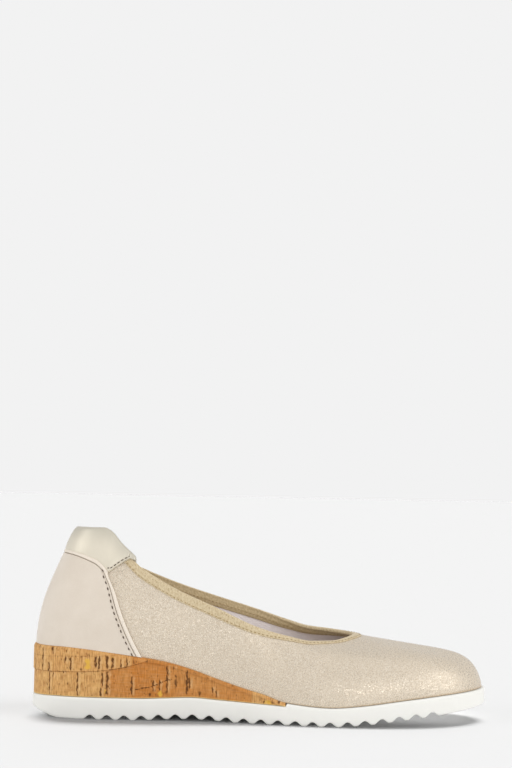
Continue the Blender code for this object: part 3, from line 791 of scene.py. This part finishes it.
# The second pair of tones is the tape in shade, painted on its inside.
face_tone, inside_shade_tone = (
    put("ShaderNodeMix", {0: shade, 6: linear(low), 7: linear(high)}, data_type="RGBA")
    for low, high in (("#B7A17A", "#DCCDAD"), ("#9C855D", "#C9B48C")))
inside_shaded = put("ShaderNodeMix", {0: inner, 6: face_tone, 7: inside_shade_tone}, data_type="RGBA")
knots = put("ShaderNodeTexVoronoi", {"Vector": flat, "Scale": 1 / KNOT_PITCH})
knot_chance = put("ShaderNodeSeparateColor", {"Color": knots.outputs["Color"]})
knot_pick = put("ShaderNodeMapRange", {"Value": knot_chance, "From Min": 0.5, "From Max": 0.55})
knot_spot = put("ShaderNodeMapRange", {"Value": knots, "From Min": 0.36, "From Max": 0.2, "To Max": 0.55})
knot_share = put("ShaderNodeMath", {0: knot_pick, 1: knot_spot}, operation="MULTIPLY")
blend = put("ShaderNodeMix", {0: knot_share, 6: inside_shaded, 7: linear("#94774A")}, data_type="RGBA")
bump = put("ShaderNodeBump", {"Height": weave, "Strength": 0.35, "Distance": 0.12 * MM})
wire(shader, {"Base Color": blend, "Normal": bump, "Roughness": 0.6, "Sheen Weight": 0.15})


def tape_end(tip):
    """Place under the collar where the tape ends, on the side of that tip."""
    return collar_corner + TAPE_HIDDEN * (tip - COLLAR_WING - collar_corner)


def runs(points):
    """Length of a line of points up to each of them."""
    return np.append(0, np.cumsum(np.linalg.norm(np.diff(points, axis=0), axis=1)))


def tape_step(depth):
    """How far the tape's inner leg stands off the suede, as it comes to lie on the lining."""
    onto = np.clip(depth / LINING_DROP, 0, 1)
    return (WALL - SUEDE) * onto * onto * (3 - 2 * onto)


binding_u = np.linspace(tape_end(COLLAR_TIP), LOOP - tape_end(COLLAR_TIP_MEDIAL), TAPE_RINGS)
span = girth(binding_u)[:, None]
from_heel = np.minimum(binding_u, LOOP - binding_u)
leg_widths = (BINDING_OUTSIDE, BINDING_FLANK, BINDING_FLANK, BINDING_FRONT)
outer_leg = np.interp(from_heel, LEG_ROWS, leg_widths)[:, None]
every = np.ones((len(binding_u), 1))
outside = outer_leg * np.linspace(1, 0, LEG_POINTS)
inside = np.linspace(0, BINDING_INSIDE, INNER_POINTS)
arc = np.linspace(0, np.pi, FOLD_POINTS + 2)[1:-1]
half_edge = SUEDE / 2 + TAPE_CLEAR + TAPE_THICK
lower_edge = rounded(BINDING_INSIDE - inside + 0.1, TAPE_ROUND)
tape_depth = np.hstack([
    outside, every * -TAPE_FOLD * np.sin(arc), every * inside, every * inside[::-1],
    every * [-TAPE_CLEAR, -TAPE_CLEAR], outside[:, ::-1]])
tape_out = np.hstack([
    TAPE_CLEAR + TAPE_THICK * rounded(outer_leg - outside + 0.1, TAPE_ROUND),
    every * (half_edge * np.cos(arc) - SUEDE / 2),
    every * (-SUEDE - tape_step(inside) - TAPE_CLEAR - TAPE_THICK * lower_edge),
    every * (-SUEDE - tape_step(inside[::-1]) - TAPE_CLEAR),
    every * [-SUEDE - TAPE_CLEAR, TAPE_CLEAR],
    TAPE_CLEAR + 0 * outside])
rings = skin(binding_u, 1 - tape_depth / span, tape_out)
uv = np.stack(np.meshgrid(
    runs(rings[:, LEG_POINTS // 2]), runs(rings[len(rings) // 2]), indexing="ij"), axis=-1)
leg = np.zeros(LEG_POINTS)
# Painted shade on the tape's inside, coming in over the fold.
turned_in = np.hstack([leg, np.linspace(0, 1, FOLD_POINTS) ** 2, np.ones(2 * INNER_POINTS + 2), leg])
binding = loft("woven_binding", rings, gold_tape, uv=uv, tones={"inner": every * turned_in})
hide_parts("topline_binding")

# Binding stitches: two rows of gold polyester thread, one through each leg of the tape near its lower
# edge, which hold the folded tape to the suede and the lining.
BINDING_PITCH = 2.3
BINDING_STITCH = 1.6
BINDING_THREAD = 0.42
OUTER_INSET = 0.9
INNER_INSET = 2.4
THREAD_PROUD = 0.02

# Polyester thread: a darker gold than the tape, so that each row reads as a fine dotted line.
gold_thread, _, shader, _, _, colour = toned("gold polyester thread", 0.3, 2.0, "#7A6038", "#AE9260")
wire(shader, {"Base Color": colour, "Roughness": 0.45})
sewn_u = binding_u[2:-2]
sewn_span = girth(sewn_u)
tape_face = TAPE_CLEAR + TAPE_THICK + THREAD_PROUD
inner_row = BINDING_INSIDE - INNER_INSET
binding_rows = [
    spots(sewn_u, 1 - (outer_leg[2:-2, 0] - OUTER_INSET) / sewn_span, tape_face),
    spots(sewn_u, 1 - inner_row / sewn_span, -SUEDE - tape_step(inner_row) - tape_face)]
binding_stitches = sew(
    "binding_stitches", binding_rows, BINDING_PITCH, BINDING_STITCH, BINDING_THREAD, gold_thread)

# Insole: a thin fibre board under a smooth leather sock, a little darker than the lining, glued inside
# the upper. It follows the top of the cork and of the sole.
INSOLE_THICK = 3.0
INSOLE_ROUND = 0.8
INSOLE_PACE = 1.5

# Sock leather: plain and slightly glossy, with fine pores.
sock_leather, put, shader, where, _, colour = toned("sock leather", 16.0, 3.0, "#C8BBB0", "#D8CDC3")
pores = put("ShaderNodeTexVoronoi", {"Vector": where, "Scale": 1 / (0.9 * MM)})
bump = put("ShaderNodeBump", {"Height": pores, "Strength": 0.25, "Distance": 0.08 * MM})
wire(shader, {"Base Color": colour, "Normal": bump, "Roughness": 0.55})

TOE_INDEX = int(np.argmax(SOLE_PLAN[:, 0]))


def sole_rings(stop, pace, side, edge=ledge):
    """Rings of a layer of the sole, from the heel back to stop, and how far along the edge they lie.

    side lists reach beyond an edge and a function of height, from the top down to the foot.
    """
    border = SOLE_PLAN[:TOE_INDEX + 1]
    arc = runs(border)
    length = np.interp(stop, border[:, 0], arc)
    arcs = np.linspace(0, length, round(length / pace))
    stations = np.interp(arcs, arc, border[:, 0])
    lateral = np.interp(arcs, arc, ROUND[:TOE_INDEX + 1])
    medial = np.interp(stations, SOLE_PLAN[:TOE_INDEX - 1:-1, 0], ROUND[:TOE_INDEX - 1:-1])
    lines = []
    for u, rows in ((lateral, side), (medial, side[::-1])):
        for reach, height in rows:
            plan = outline(u, edge(u) + reach)
            lines.append(np.column_stack([plan, height(plan[:, 0])]))
    return np.stack(lines, axis=1), arcs


def raised(level, rise):
    """Height function that stands rise above another."""
    return lambda along: level(along) + rise


inset = -(WALL + 3 * GAP)
insole_side = (
    (inset - INSOLE_ROUND, raised(seat, GAP + INSOLE_THICK)),
    (inset - 0.3 * INSOLE_ROUND, raised(seat, GAP + INSOLE_THICK - 0.3 * INSOLE_ROUND)),
    (inset, raised(seat, GAP + INSOLE_THICK - INSOLE_ROUND)),
    (inset, raised(seat, GAP)),
)
rings, _ = sole_rings(SOLE_PLAN[TOE_INDEX, 0], INSOLE_PACE, insole_side, edge=np.zeros_like)
insole = loft("sock_insole", rings, sock_leather, caps=(False, False))
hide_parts("insole")

# Cork wedge: agglomerated cork blocks glued up in layers and covered with natural cork sheet, cut to
# the sole's outline. Two streaked layers stand proud of the block below them and run out forwards.
CORK_TIP = 142.0
CORK_BAND = 13.6
CORK_BAND_END = 68.0
CORK_BAND_TAPER = 2.6
CORK_VENEER = 5.6
CORK_VENEER_END = 52.0
CORK_STEP = 0.5
CORK_EDGE = 1.6
CORK_PACE = 0.36
CORK_INLET = 6.0
EDGE_TURNS = (0, 22, 45, 68)
BAND_POINTS = 32
BLOCK_POINTS = 36
GLUE_LINE = 0.5
GLUE_SHARE = 0.8

# How strongly joints, crack and the pale sides of streaks show, and their widths. Marks as wide as a
# pit have no pale side, and the wider a mark is, the more it fades.
JOINT_SHARE = 0.36
FOOT_SHARE = 0.45
JOINT_WIDTH = 0.3
CRACK_SHARE = 0.9
CRACK_WIDTH = 0.28
PALE_SHARE = 0.4
PIT_WIDTH = 1.3
WIDE_FADE = 0.3

# Dark bark streaks and pits on the lateral side, as they lie in this cork: place along the shoe,
# lowest and highest point, and width.
Streak = namedtuple("Streak", "along low high width")
STREAKS = [Streak(*row) for row in (
    (0.1, 22.5, 30.0, 0.6), (0.1, 32.5, 37.0, 0.5), (2.9, 23.5, 31.0, 0.5), (5.6, 36.0, 38.2, 0.6),
    (7.9, 24.7, 38.4, 0.6), (11.7, 24.5, 30.0, 0.7), (11.9, 12.0, 24.4, 0.45), (13.8, 34.4, 38.2, 0.8),
    (14.0, 21.6, 24.3, 0.4), (19.8, 24.0, 25.6, 0.6), (21.0, 29.6, 33.5, 0.8), (21.8, 35.5, 38.0, 0.4),
    (22.4, 18.0, 19.4, 1.8), (24.1, 25.7, 33.6, 0.7), (26.0, 26.2, 27.2, 1.6), (28.0, 12.6, 25.6, 0.5),
    (29.9, 33.0, 34.3, 1.3), (30.2, 26.2, 27.6, 1.5), (34.1, 33.6, 35.5, 2.4), (38.0, 27.4, 34.5, 0.9),
    (39.8, 27.4, 34.6, 0.8), (41.0, 12.6, 17.4, 0.7), (41.7, 17.4, 25.4, 0.6), (44.2, 27.0, 34.7, 1.2),
    (44.5, 13.3, 26.5, 1.2), (47.3, 27.8, 34.0, 1.1), (51.8, 28.4, 33.0, 0.5), (55.1, 28.8, 34.0, 0.5),
    (57.9, 13.6, 23.5, 0.7), (59.0, 30.3, 32.6, 2.4), (67.8, 13.0, 15.0, 1.4), (69.6, 16.0, 22.0, 0.6),
    (73.1, 16.6, 22.1, 0.5), (76.8, 13.8, 16.5, 2.4), (77.3, 15.0, 29.8, 0.7), (80.9, 28.0, 29.6, 0.9),
    (82.1, 18.2, 25.0, 1.4), (88.2, 14.3, 27.9, 1.3), (89.6, 18.0, 23.6, 0.8), (93.0, 25.5, 26.8, 1.8),
    (95.4, 13.4, 16.7, 1.4), (99.7, 23.4, 24.6, 1.2), (102.2, 15.8, 19.0, 0.5), (104.4, 13.6, 16.9, 0.5),
    (113.4, 19.2, 20.6, 1.6), (130.4, 11.0, 12.8, 1.0), (135.3, 11.0, 13.2, 2.0),
    (138.5, 11.8, 13.4, 1.0),
)]

# Yellow flecks of softer cork.
FLECKS = [Streak(*row) for row in (
    (33.7, 26.9, 33.0, 3.6), (73.8, 12.6, 16.6, 2.2), (47.3, 33.0, 34.6, 1.2), (43.6, 14.0, 16.4, 1.4),
    (132.5, 10.8, 13.4, 6.0),
)]

# Fine wandering crack in the front block.
CRACK_ALONG = (60.0, 68.0, 73.0, 76.0, 80.0)
CRACK_HEIGHT = (16.6, 18.2, 19.9, 21.6, 22.5)

# Blocks of the wedge from the heel forwards: where each begins and how warm it is, from tan to orange.
Block = namedtuple("Block", "begins lower upper")
BLOCKS = (
    Block(0.0, 0.10, 0.15),
    Block(11.9, 0.20, 0.22),
    Block(28.0, 0.16, 0.30),
    Block(41.0, 0.50, 0.35),
    Block(45.0, 0.85, 0.45),
    Block(57.9, 1.00, 0.80),
    Block(77.3, 0.85, 0.90),
    Block(90.0, 0.80, 0.80),
    Block(124.0, 0.25, 0.25),
)

# The medial side has streaks scattered by a seed, and flecks of its own.
HIDDEN_STREAKS = 46
HIDDEN_SEED = 11
HIDDEN_LOW = (11, 33)
HIDDEN_ALONG = (1, 100)
HIDDEN_TALL = (1.5, 11)
HIDDEN_WIDTH = (0.4, 1.2)
HIDDEN_FLECKS = [Streak(*row) for row in (
    (52.0, 27.0, 31.0, 2.6), (21.0, 14.0, 18.0, 2.0), (93.0, 15.0, 18.5, 2.4),
)]

# Natural cork: dull tan to orange, with upright fibres and hairs, pores, yellow flecks and dark bark
# streaks whose sides fade to pale. Widths and heights of the marks are in millimetres.
natural_cork, put, shader, where = material("natural cork")
flat = put("ShaderNodeUVMap", {}, uv_map="surface")
streak, pale, fleck, warmth, glue = (
    put("ShaderNodeAttribute", {}, attribute_name=name).outputs["Fac"]
    for name in ("streak", "pale", "fleck", "warmth", "glue"))
fibre_way, layer_way, hair_way, pore_way = (
    put("ShaderNodeMapping", {"Vector": flat, "Scale": (1 / wide, 1 / tall, 1.0)})
    for wide, tall in ((0.6, 5.0), (7.0, 0.8), (0.7, 9.0), (1.2, 2.4)))
fibre, layers, hairs, patches, breaks = (
    put("ShaderNodeTexNoise", {"Vector": way, "Scale": 1 / size, "Detail": detail})
    for way, size, detail in (
        (fibre_way, 1.0, 1.5), (layer_way, 1.0, 4.0), (hair_way, 1.0, 2.0), (flat, 9.0, 2.0),
        (flat, 2.4, 2.0)))
grain = put("ShaderNodeTexVoronoi", {"Vector": where, "Scale": 1 / (1.4 * MM)})
grain_tone = put("ShaderNodeSeparateColor", {"Color": grain.outputs["Color"]})
pores = put("ShaderNodeTexVoronoi", {"Vector": pore_way, "Scale": 1.0})
pore_chance = put("ShaderNodeSeparateColor", {"Color": pores.outputs["Color"]})
warm_spread = put("ShaderNodeMath", {0: patches, 1: 0.5, 2: warmth}, operation="MULTIPLY_ADD")
warm_share = put("ShaderNodeMath", {0: warm_spread, 1: 0.25}, operation="SUBTRACT", use_clamp=True)
grain_share = put("ShaderNodeMath", {0: grain_tone, 1: 0.16}, operation="MULTIPLY")
fleck_edge = put("ShaderNodeMath", {0: breaks, 1: 0.8, 2: fleck}, operation="MULTIPLY_ADD")
torn = put("ShaderNodeMath", {0: breaks, 1: 0.6, 2: fibre}, operation="MULTIPLY_ADD")
streak_edge = put("ShaderNodeMath", {0: streak, 1: 0.85, 2: torn}, operation="MULTIPLY_ADD")
layer_tone, fibre_tone, blotch, hair_tone, fleck_share, halo, streak_share, pore_pick, pore_spot = (
    put("ShaderNodeMapRange", {"Value": value, "From Min": none, "From Max": full, "To Max": most})
    for value, none, full, most in (
        (layers, 0.4, 0.7, 0.2), (fibre, 0.42, 0.7, 0.62), (breaks, 0.48, 0.72, 0.4),
        (hairs, 0.58, 0.7, 0.5), (fleck_edge, 0.75, 1.2, 0.85), (streak, 0.05, 0.7, 0.6),
        (streak_edge, 1.08, 1.32, 0.88), (pore_chance, 0.62, 0.66, 1.0), (pores, 0.3, 0.1, 0.6)))
pore_share = put("ShaderNodeMath", {0: pore_pick, 1: pore_spot}, operation="MULTIPLY")
dark_share = put("ShaderNodeMath", {0: streak_share, 1: pore_share}, operation="MAXIMUM")
colour = linear("#E1B574")
for share, tone in (
        (warm_share, "#C37A30"), (layer_tone, "#E2BC8D"), (fibre_tone, "#97602A"),
        (grain_share, "#AC7038"), (blotch, "#A7692F"), (hair_tone, "#83501F"), (fleck_share, "#DDAE44"),
        (pale, "#E8C692"), (halo, "#935A26"), (dark_share, "#52300F"), (glue, "#E4C583")):
    colour = put("ShaderNodeMix", {0: share, 6: colour, 7: linear(tone)}, data_type="RGBA")
relief = put("ShaderNodeMath", {0: layers, 1: 0.3, 2: dark_share}, operation="MULTIPLY_ADD")
bump = put("ShaderNodeBump", {"Height": relief, "Strength": 0.5, "Distance": 0.25 * MM}, invert=True)
wire(shader, {
    "Base Color": colour, "Normal": bump, "Roughness": 0.75, "Specular IOR Level": 0.25})

deck = steady_curve(level_places, [row.deck for row in LEVELS])


def band_foot(along):
    """Lower edge of the two proud layers."""
    thick = CORK_BAND * (1 - (along / CORK_BAND_END).clip(0) ** CORK_BAND_TAPER)
    return seat(along) - np.clip(thick, CORK_STEP, None)


def veneer_foot(along):
    """Joint between the two proud layers."""
    return seat(along) - np.clip(CORK_VENEER * (1 - (along / CORK_VENEER_END) ** 2), 0, None)


def between(upper_level, lower_level, share):
    """Height function a share of the way down from one level to another."""
    return lambda along: upper_level(along) + (lower_level(along) - upper_level(along)) * share


def marked(marks, fade=0.0):
    """How strongly the marks, which wander and break off, cover each point of the wedge, from 0 to 1."""
    found = np.zeros(height.shape)
    for mark in marks:
        phase = 7.3 * mark.along
        past = arcs[:, None] - np.interp(mark.along, along[:, half // 2], arcs)
        wander = 0.16 * np.sin(1.3 * height + phase) + 0.08 * np.sin(3.1 * height + 2 * phase)
        ragged = 1 + 0.3 * np.sin(1.5 * height + 1.7 * phase)
        side = np.exp(-((past - wander) / (ragged * (0.5 * mark.width + 0.14))) ** 2)
        broken = 0.9 + 0.1 * np.sin(2.1 * height + 1.3 * phase)
        broken *= np.clip(1.15 - fade * mark.width, 0.5, 1)
        ends = np.minimum(height - mark.low, mark.high - height)
        found = np.maximum(found, side * broken * np.clip(0.5 + ends / 1.4, 0, 1))
    return found


band_top = raised(seat, -CORK_EDGE)
block_top = raised(band_foot, -0.3)
block_foot = raised(deck, GAP)
cork_top = raised(seat, GAP)
cork_side = [(-CORK_INLET, cork_top)]
for turn in np.radians(EDGE_TURNS):
    fall = GAP - (GAP + CORK_EDGE) * (1 - math.cos(turn))
    cork_side.append((CORK_EDGE * (math.sin(turn) - 1), raised(seat, fall)))
cork_side += [(0.0, between(band_top, band_foot, share)) for share in np.linspace(0, 1, BAND_POINTS)]
cork_side += [
    (-CORK_STEP, between(block_top, block_foot, share)) for share in np.linspace(0, 1, BLOCK_POINTS)]
cork_side += [(-CORK_INLET, block_foot)]
rings, arcs = sole_rings(CORK_TIP, CORK_PACE, cork_side)
along, height = rings[..., 0], rings[..., 2]
half = len(cork_side)
random = np.random.default_rng(HIDDEN_SEED)
hidden_low = random.uniform(*HIDDEN_LOW, HIDDEN_STREAKS)
hidden = [
    Streak(a, low, low + tall, width) for a, low, tall, width in zip(
        random.uniform(*HIDDEN_ALONG, HIDDEN_STREAKS), hidden_low,
        random.uniform(*HIDDEN_TALL, HIDDEN_STREAKS), random.uniform(*HIDDEN_WIDTH, HIDDEN_STREAKS))]
crack = CRACK_SHARE * swell(height, np.interp(along, CRACK_ALONG, CRACK_HEIGHT), CRACK_WIDTH)
crack *= (along > CRACK_ALONG[0]) & (along < CRACK_ALONG[-1])
joint = JOINT_SHARE * swell(height, veneer_foot(along), JOINT_WIDTH) * (along < CORK_VENEER_END - 2)
foot_joint = FOOT_SHARE * swell(height, band_foot(along) - 0.15, JOINT_WIDTH) * (along < CORK_BAND_END)
dark = np.hstack([
    np.maximum(marked(STREAKS, WIDE_FADE), crack)[:, :half], marked(hidden, WIDE_FADE)[:, half:]])
beside = [
    mark._replace(along=mark.along + 0.9 + 0.3 * mark.width, width=0.9)
    for mark in STREAKS if mark.width < PIT_WIDTH]
pale = PALE_SHARE * marked(beside)
yellow = np.hstack([marked(FLECKS)[:, :half], marked(HIDDEN_FLECKS)[:, half:]])
begins, warm_below, warm_above = np.array(BLOCKS).T
number = (np.searchsorted(begins, along, side="right") - 1).clip(0)
warm = np.where(height > band_foot(along) - 0.2, warm_above[number], warm_below[number])
signed = arcs[:, None] * np.repeat([1, -1], half)
glue = GLUE_SHARE * np.clip(1 - (height - deck(along) - GAP) / GLUE_LINE, 0, 1)
wedge = loft(
    "cork_block", rings, natural_cork, caps=(False, True), uv=np.stack([signed, height], axis=-1), tones={
        "streak": np.maximum(np.maximum(dark, joint), foot_joint),
        "pale": pale, "fleck": yellow, "warmth": warm, "glue": glue})
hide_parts("cork_wedge")

# Outsole: one moulded slab of white light rubber, cemented under the cork and the upper. Its tread is
# smooth at the back of the heel and rippled across from there to the toe.
RIPPLES = 21
RIPPLE_PITCH = 9.35
RIPPLE_DEPTH = 2.4
FIRST_VALLEY = 35.4
SOLE_EDGE = 0.8
FOOT_ROUND = 0.5
RIPPLE_REACH = 5.0
SOLE_PACE = 0.75
SOLE_INLET = 6.0
WALL_POINTS = 12

# Moulded rubber: nearly white and satin, with a very fine skin.
white_rubber, put, shader, where, _, colour = toned(
    "white moulded rubber", 30.0, 2.0, "#E6E5DF", "#ECEBE6")
skin_grain = put("ShaderNodeTexNoise", {"Vector": where, "Scale": 1 / (0.5 * MM), "Detail": 2.0})
bump = put("ShaderNodeBump", {"Height": skin_grain, "Strength": 0.15, "Distance": 0.05 * MM})
wire(shader, {"Base Color": colour, "Normal": bump, "Roughness": 0.55})


def ripple_nodes():
    """Node tree that lifts the tread of a slab into ripples across it."""
    numbers = ("First Valley", "Pitch", "Depth", "Ripples")
    tree, put, given = maker_tree("ripple tread", "Slab", numbers, "Rubber", "Sole")
    spot = put("ShaderNodeSeparateXYZ", {0: put("GeometryNodeInputPosition", {})})
    share = put("GeometryNodeInputNamedAttribute", {"Name": "tread"}, data_type="FLOAT")
    ahead = put("ShaderNodeMath", {0: spot, 1: given["First Valley"]}, operation="SUBTRACT")
    turn = put("ShaderNodeMath", {0: ahead, 1: given["Pitch"]}, operation="DIVIDE")
    angle = put("ShaderNodeMath", {0: turn, 1: 2 * math.pi}, operation="MULTIPLY")
    wave = put("ShaderNodeMath", {0: angle}, operation="COSINE")
    # The wave is cut off at its foot, so that the ribs between the valleys stay flat.
    lobe = put("ShaderNodeMath", {0: wave, 1: 0.5 / 0.9, 2: 0.4 / 0.9}, operation="MULTIPLY_ADD")
    valley = put("ShaderNodeMath", {0: lobe, 1: 0.0}, operation="MAXIMUM")
    after = put("ShaderNodeMath", {0: turn, 1: -0.5}, operation="GREATER_THAN")
    last = put("ShaderNodeMath", {0: given["Ripples"], 1: 0.5}, operation="SUBTRACT")
    before = put("ShaderNodeMath", {0: turn, 1: last}, operation="LESS_THAN")
    lift = put("ShaderNodeMath", {0: valley, 1: given["Depth"]}, operation="MULTIPLY")
    for limit in (after, before, share):
        lift = put("ShaderNodeMath", {0: lift, 1: limit}, operation="MULTIPLY")
    upwards = put("ShaderNodeCombineXYZ", {"Z": lift})
    rippled = put("GeometryNodeSetPosition", {"Geometry": given["Slab"], "Offset": upwards})
    plain = put("GeometryNodeRealizeInstances", {"Geometry": rippled})
    cast = put("GeometryNodeSetMaterial", {"Geometry": plain, "Material": given["Rubber"]})
    put("NodeGroupOutput", {"Sole": cast})
    return tree


ground = steady_curve(level_places, [row.ground for row in LEVELS])


def sole_top(along):
    """Top of the sole, beneath the cork and then beneath the upper."""
    return np.where(along < CORK_TIP + 2 * GAP, deck(along), seat(along))


wall_top = raised(sole_top, -SOLE_EDGE)
wall_foot = raised(ground, FOOT_ROUND)
sole_side = [(-SOLE_INLET, sole_top), (-SOLE_EDGE, sole_top)]
sole_side += [(-0.3 * SOLE_EDGE, raised(sole_top, -0.3 * SOLE_EDGE))]
sole_side += [(0.0, between(wall_top, wall_foot, share)) for share in np.linspace(0, 1, WALL_POINTS)]
sole_side += [(-0.3 * FOOT_ROUND, raised(ground, 0.3 * FOOT_ROUND))]
sole_side += [(-FOOT_ROUND, ground), (-SOLE_INLET, ground)]
rings, _ = sole_rings(SOLE_PLAN[TOE_INDEX, 0], SOLE_PACE, sole_side)
tread = np.clip(1 - (rings[..., 2] - ground(rings[..., 0])) / RIPPLE_REACH, 0, 1)
slab = loft("sole_slab", rings, white_rubber, caps=(False, False), tones={"tread": tread})
sole = grown("ripple_sole", slab.data.copy(), ripple_nodes(), {
    "First Valley": (FIRST_VALLEY - MIDDLE[0]) * MM, "Pitch": RIPPLE_PITCH * MM,
    "Depth": RIPPLE_DEPTH * MM, "Ripples": RIPPLES, "Rubber": white_rubber})
bpy.data.objects.remove(slab)
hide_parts("outsole")

# Studio: a grey floor, lit until it runs out into the pale background, under an even dome of light and
# with soft screens on both sides of the camera.
BACKDROP = "#F2F2F2"
FLOOR_TONE = "#959595"
FLOOR_REACH = 12.0
DOME_LIGHT = 0.72

# Floor paint: dead matt, so that it shows the shadow and no reflection.
floor_paint, _, shader, _ = material("matt floor paint")
wire(shader, {"Base Color": linear(FLOOR_TONE), "Roughness": 1.0, "Specular IOR Level": 0.0})
floor_mesh = bpy.data.meshes.new("studio_floor")
corners = [(x * FLOOR_REACH, y * FLOOR_REACH, 0) for x, y in ((-1, -1), (1, -1), (1, 1), (-1, 1))]
floor_mesh.from_pydata(corners, [], [(0, 1, 2, 3)])
floor_mesh.materials.append(floor_paint)
floor = placed("studio_floor", floor_mesh)

world = bpy.data.worlds.new("studio")
bpy.context.scene.world = world
world.use_nodes = True
tree = world.node_tree
put = partial(add, tree)
sky = tree.nodes["Background"]
wire(sky, {"Color": linear(BACKDROP)})
dome = put("ShaderNodeBackground", {"Color": (1, 1, 1, 1), "Strength": DOME_LIGHT})
seen = put("ShaderNodeLightPath", {})
both = put("ShaderNodeMixShader", {0: seen.outputs["Is Camera Ray"], 1: dome, 2: sky})
wire(tree.nodes["World Output"], {"Surface": both})

# Each light shines from a height in degrees above the floor and a turn from the camera's side. A low
# screen bends from the front to the right of the shoe, a smaller one stands to its left. The floor has
# lights of its own, so that the shadow on it stays close to the sole.


def group(name, members):
    """Collection of the objects a light falls on, or of those that shade it."""
    made = bpy.data.collections.new(name)
    for member in members:
        made.objects.link(member)
    return made


floor_only = group("floor_only", [floor])
sole_only = group("sole_only", [sole])
insole_only = group("insole_only", [insole])
shoe = group("shoe", [
    upper, lining, counter, strip, counter_stitches, collar, collar_stitches, binding, binding_stitches,
    insole, wedge, sole])
Lamp = namedtuple("Lamp", "name strength height turn spread lights shades")
LAMPS = (
    Lamp("front_light", 0.17, 12, 0, 60, shoe, None),
    Lamp("screen_near", 0.045, 4, -4.5, 6, shoe, None),
    Lamp("screen_1", 0.1, 15, 9, 11, shoe, None),
    Lamp("screen_2", 0.11, 16, 24, 14, shoe, None),
    Lamp("screen_3", 0.13, 18, 43, 18, shoe, None),
    Lamp("screen_4", 0.7, 20, 72, 42, shoe, None),
    Lamp("left_light", 0.59, 26, -72, 45, shoe, None),
    Lamp("top_light", 0.26, 70, 60, 60, shoe, None),
    Lamp("floor_high", 6.5, 60, 180, 20, floor_only, insole_only),
    Lamp("floor_back", 0.6, 36, 180, 25, floor_only, sole_only),
    Lamp("floor_right", 4.2, 12, 84, 24, floor_only, insole_only),
    Lamp("floor_side", 1.6, 12, -75, 30, floor_only, sole_only),
)
for row in LAMPS:
    lamp = bpy.data.lights.new(row.name, "SUN")
    lamp.energy = row.strength
    lamp.angle = math.radians(row.spread)
    light = placed(row.name, lamp)
    light.rotation_euler = (math.radians(90 - row.height), 0, math.radians(row.turn))
    light.light_linking.receiver_collection = row.lights
    light.light_linking.blocker_collection = row.shades

# A weak fill lies level above the floor at the toe and lights only the floor, which keeps the shadow
# under the toe spring pale.
FILL_SIDE = 0.05
FILL_POWER = 0.008
FILL_PLACE = (0.094, 0.004, 0.012)
fill = bpy.data.lights.new("toe_fill", "AREA")
fill.shape = "RECTANGLE"
fill.size = FILL_SIDE
fill.size_y = FILL_SIDE
fill.energy = FILL_POWER
toe_fill = placed("toe_fill", fill)
toe_fill.location = FILL_PLACE
toe_fill.light_linking.receiver_collection = floor_only
toe_fill.light_linking.blocker_collection = floor_only
toe_fill.visible_camera = False

# Camera: it stands 0.9 m from the shoe's middle on the lateral side, tilted up and rolled a little. The
# focal length is in pixels of a picture of that height.
PHOTO_HEIGHT = 768
FOCAL_PIXELS = 1572.7
CAMERA_PLACE = (-0.0053, -0.9, 0.132)
CAMERA_PITCH = 3.52
CAMERA_ROLL = 1.13
lens = bpy.data.cameras.new("camera")
lens.sensor_width = 36.0
lens.lens = FOCAL_PIXELS * lens.sensor_width / PHOTO_HEIGHT
camera = placed("camera", lens)
camera.matrix_world = (
    Matrix.Translation(CAMERA_PLACE) @ Matrix.Rotation(math.radians(90 + CAMERA_PITCH), 4, "X")
    @ Matrix.Rotation(math.radians(CAMERA_ROLL), 4, "Z"))
bpy.context.scene.camera = camera
bpy.context.scene.view_settings.view_transform = "Standard"
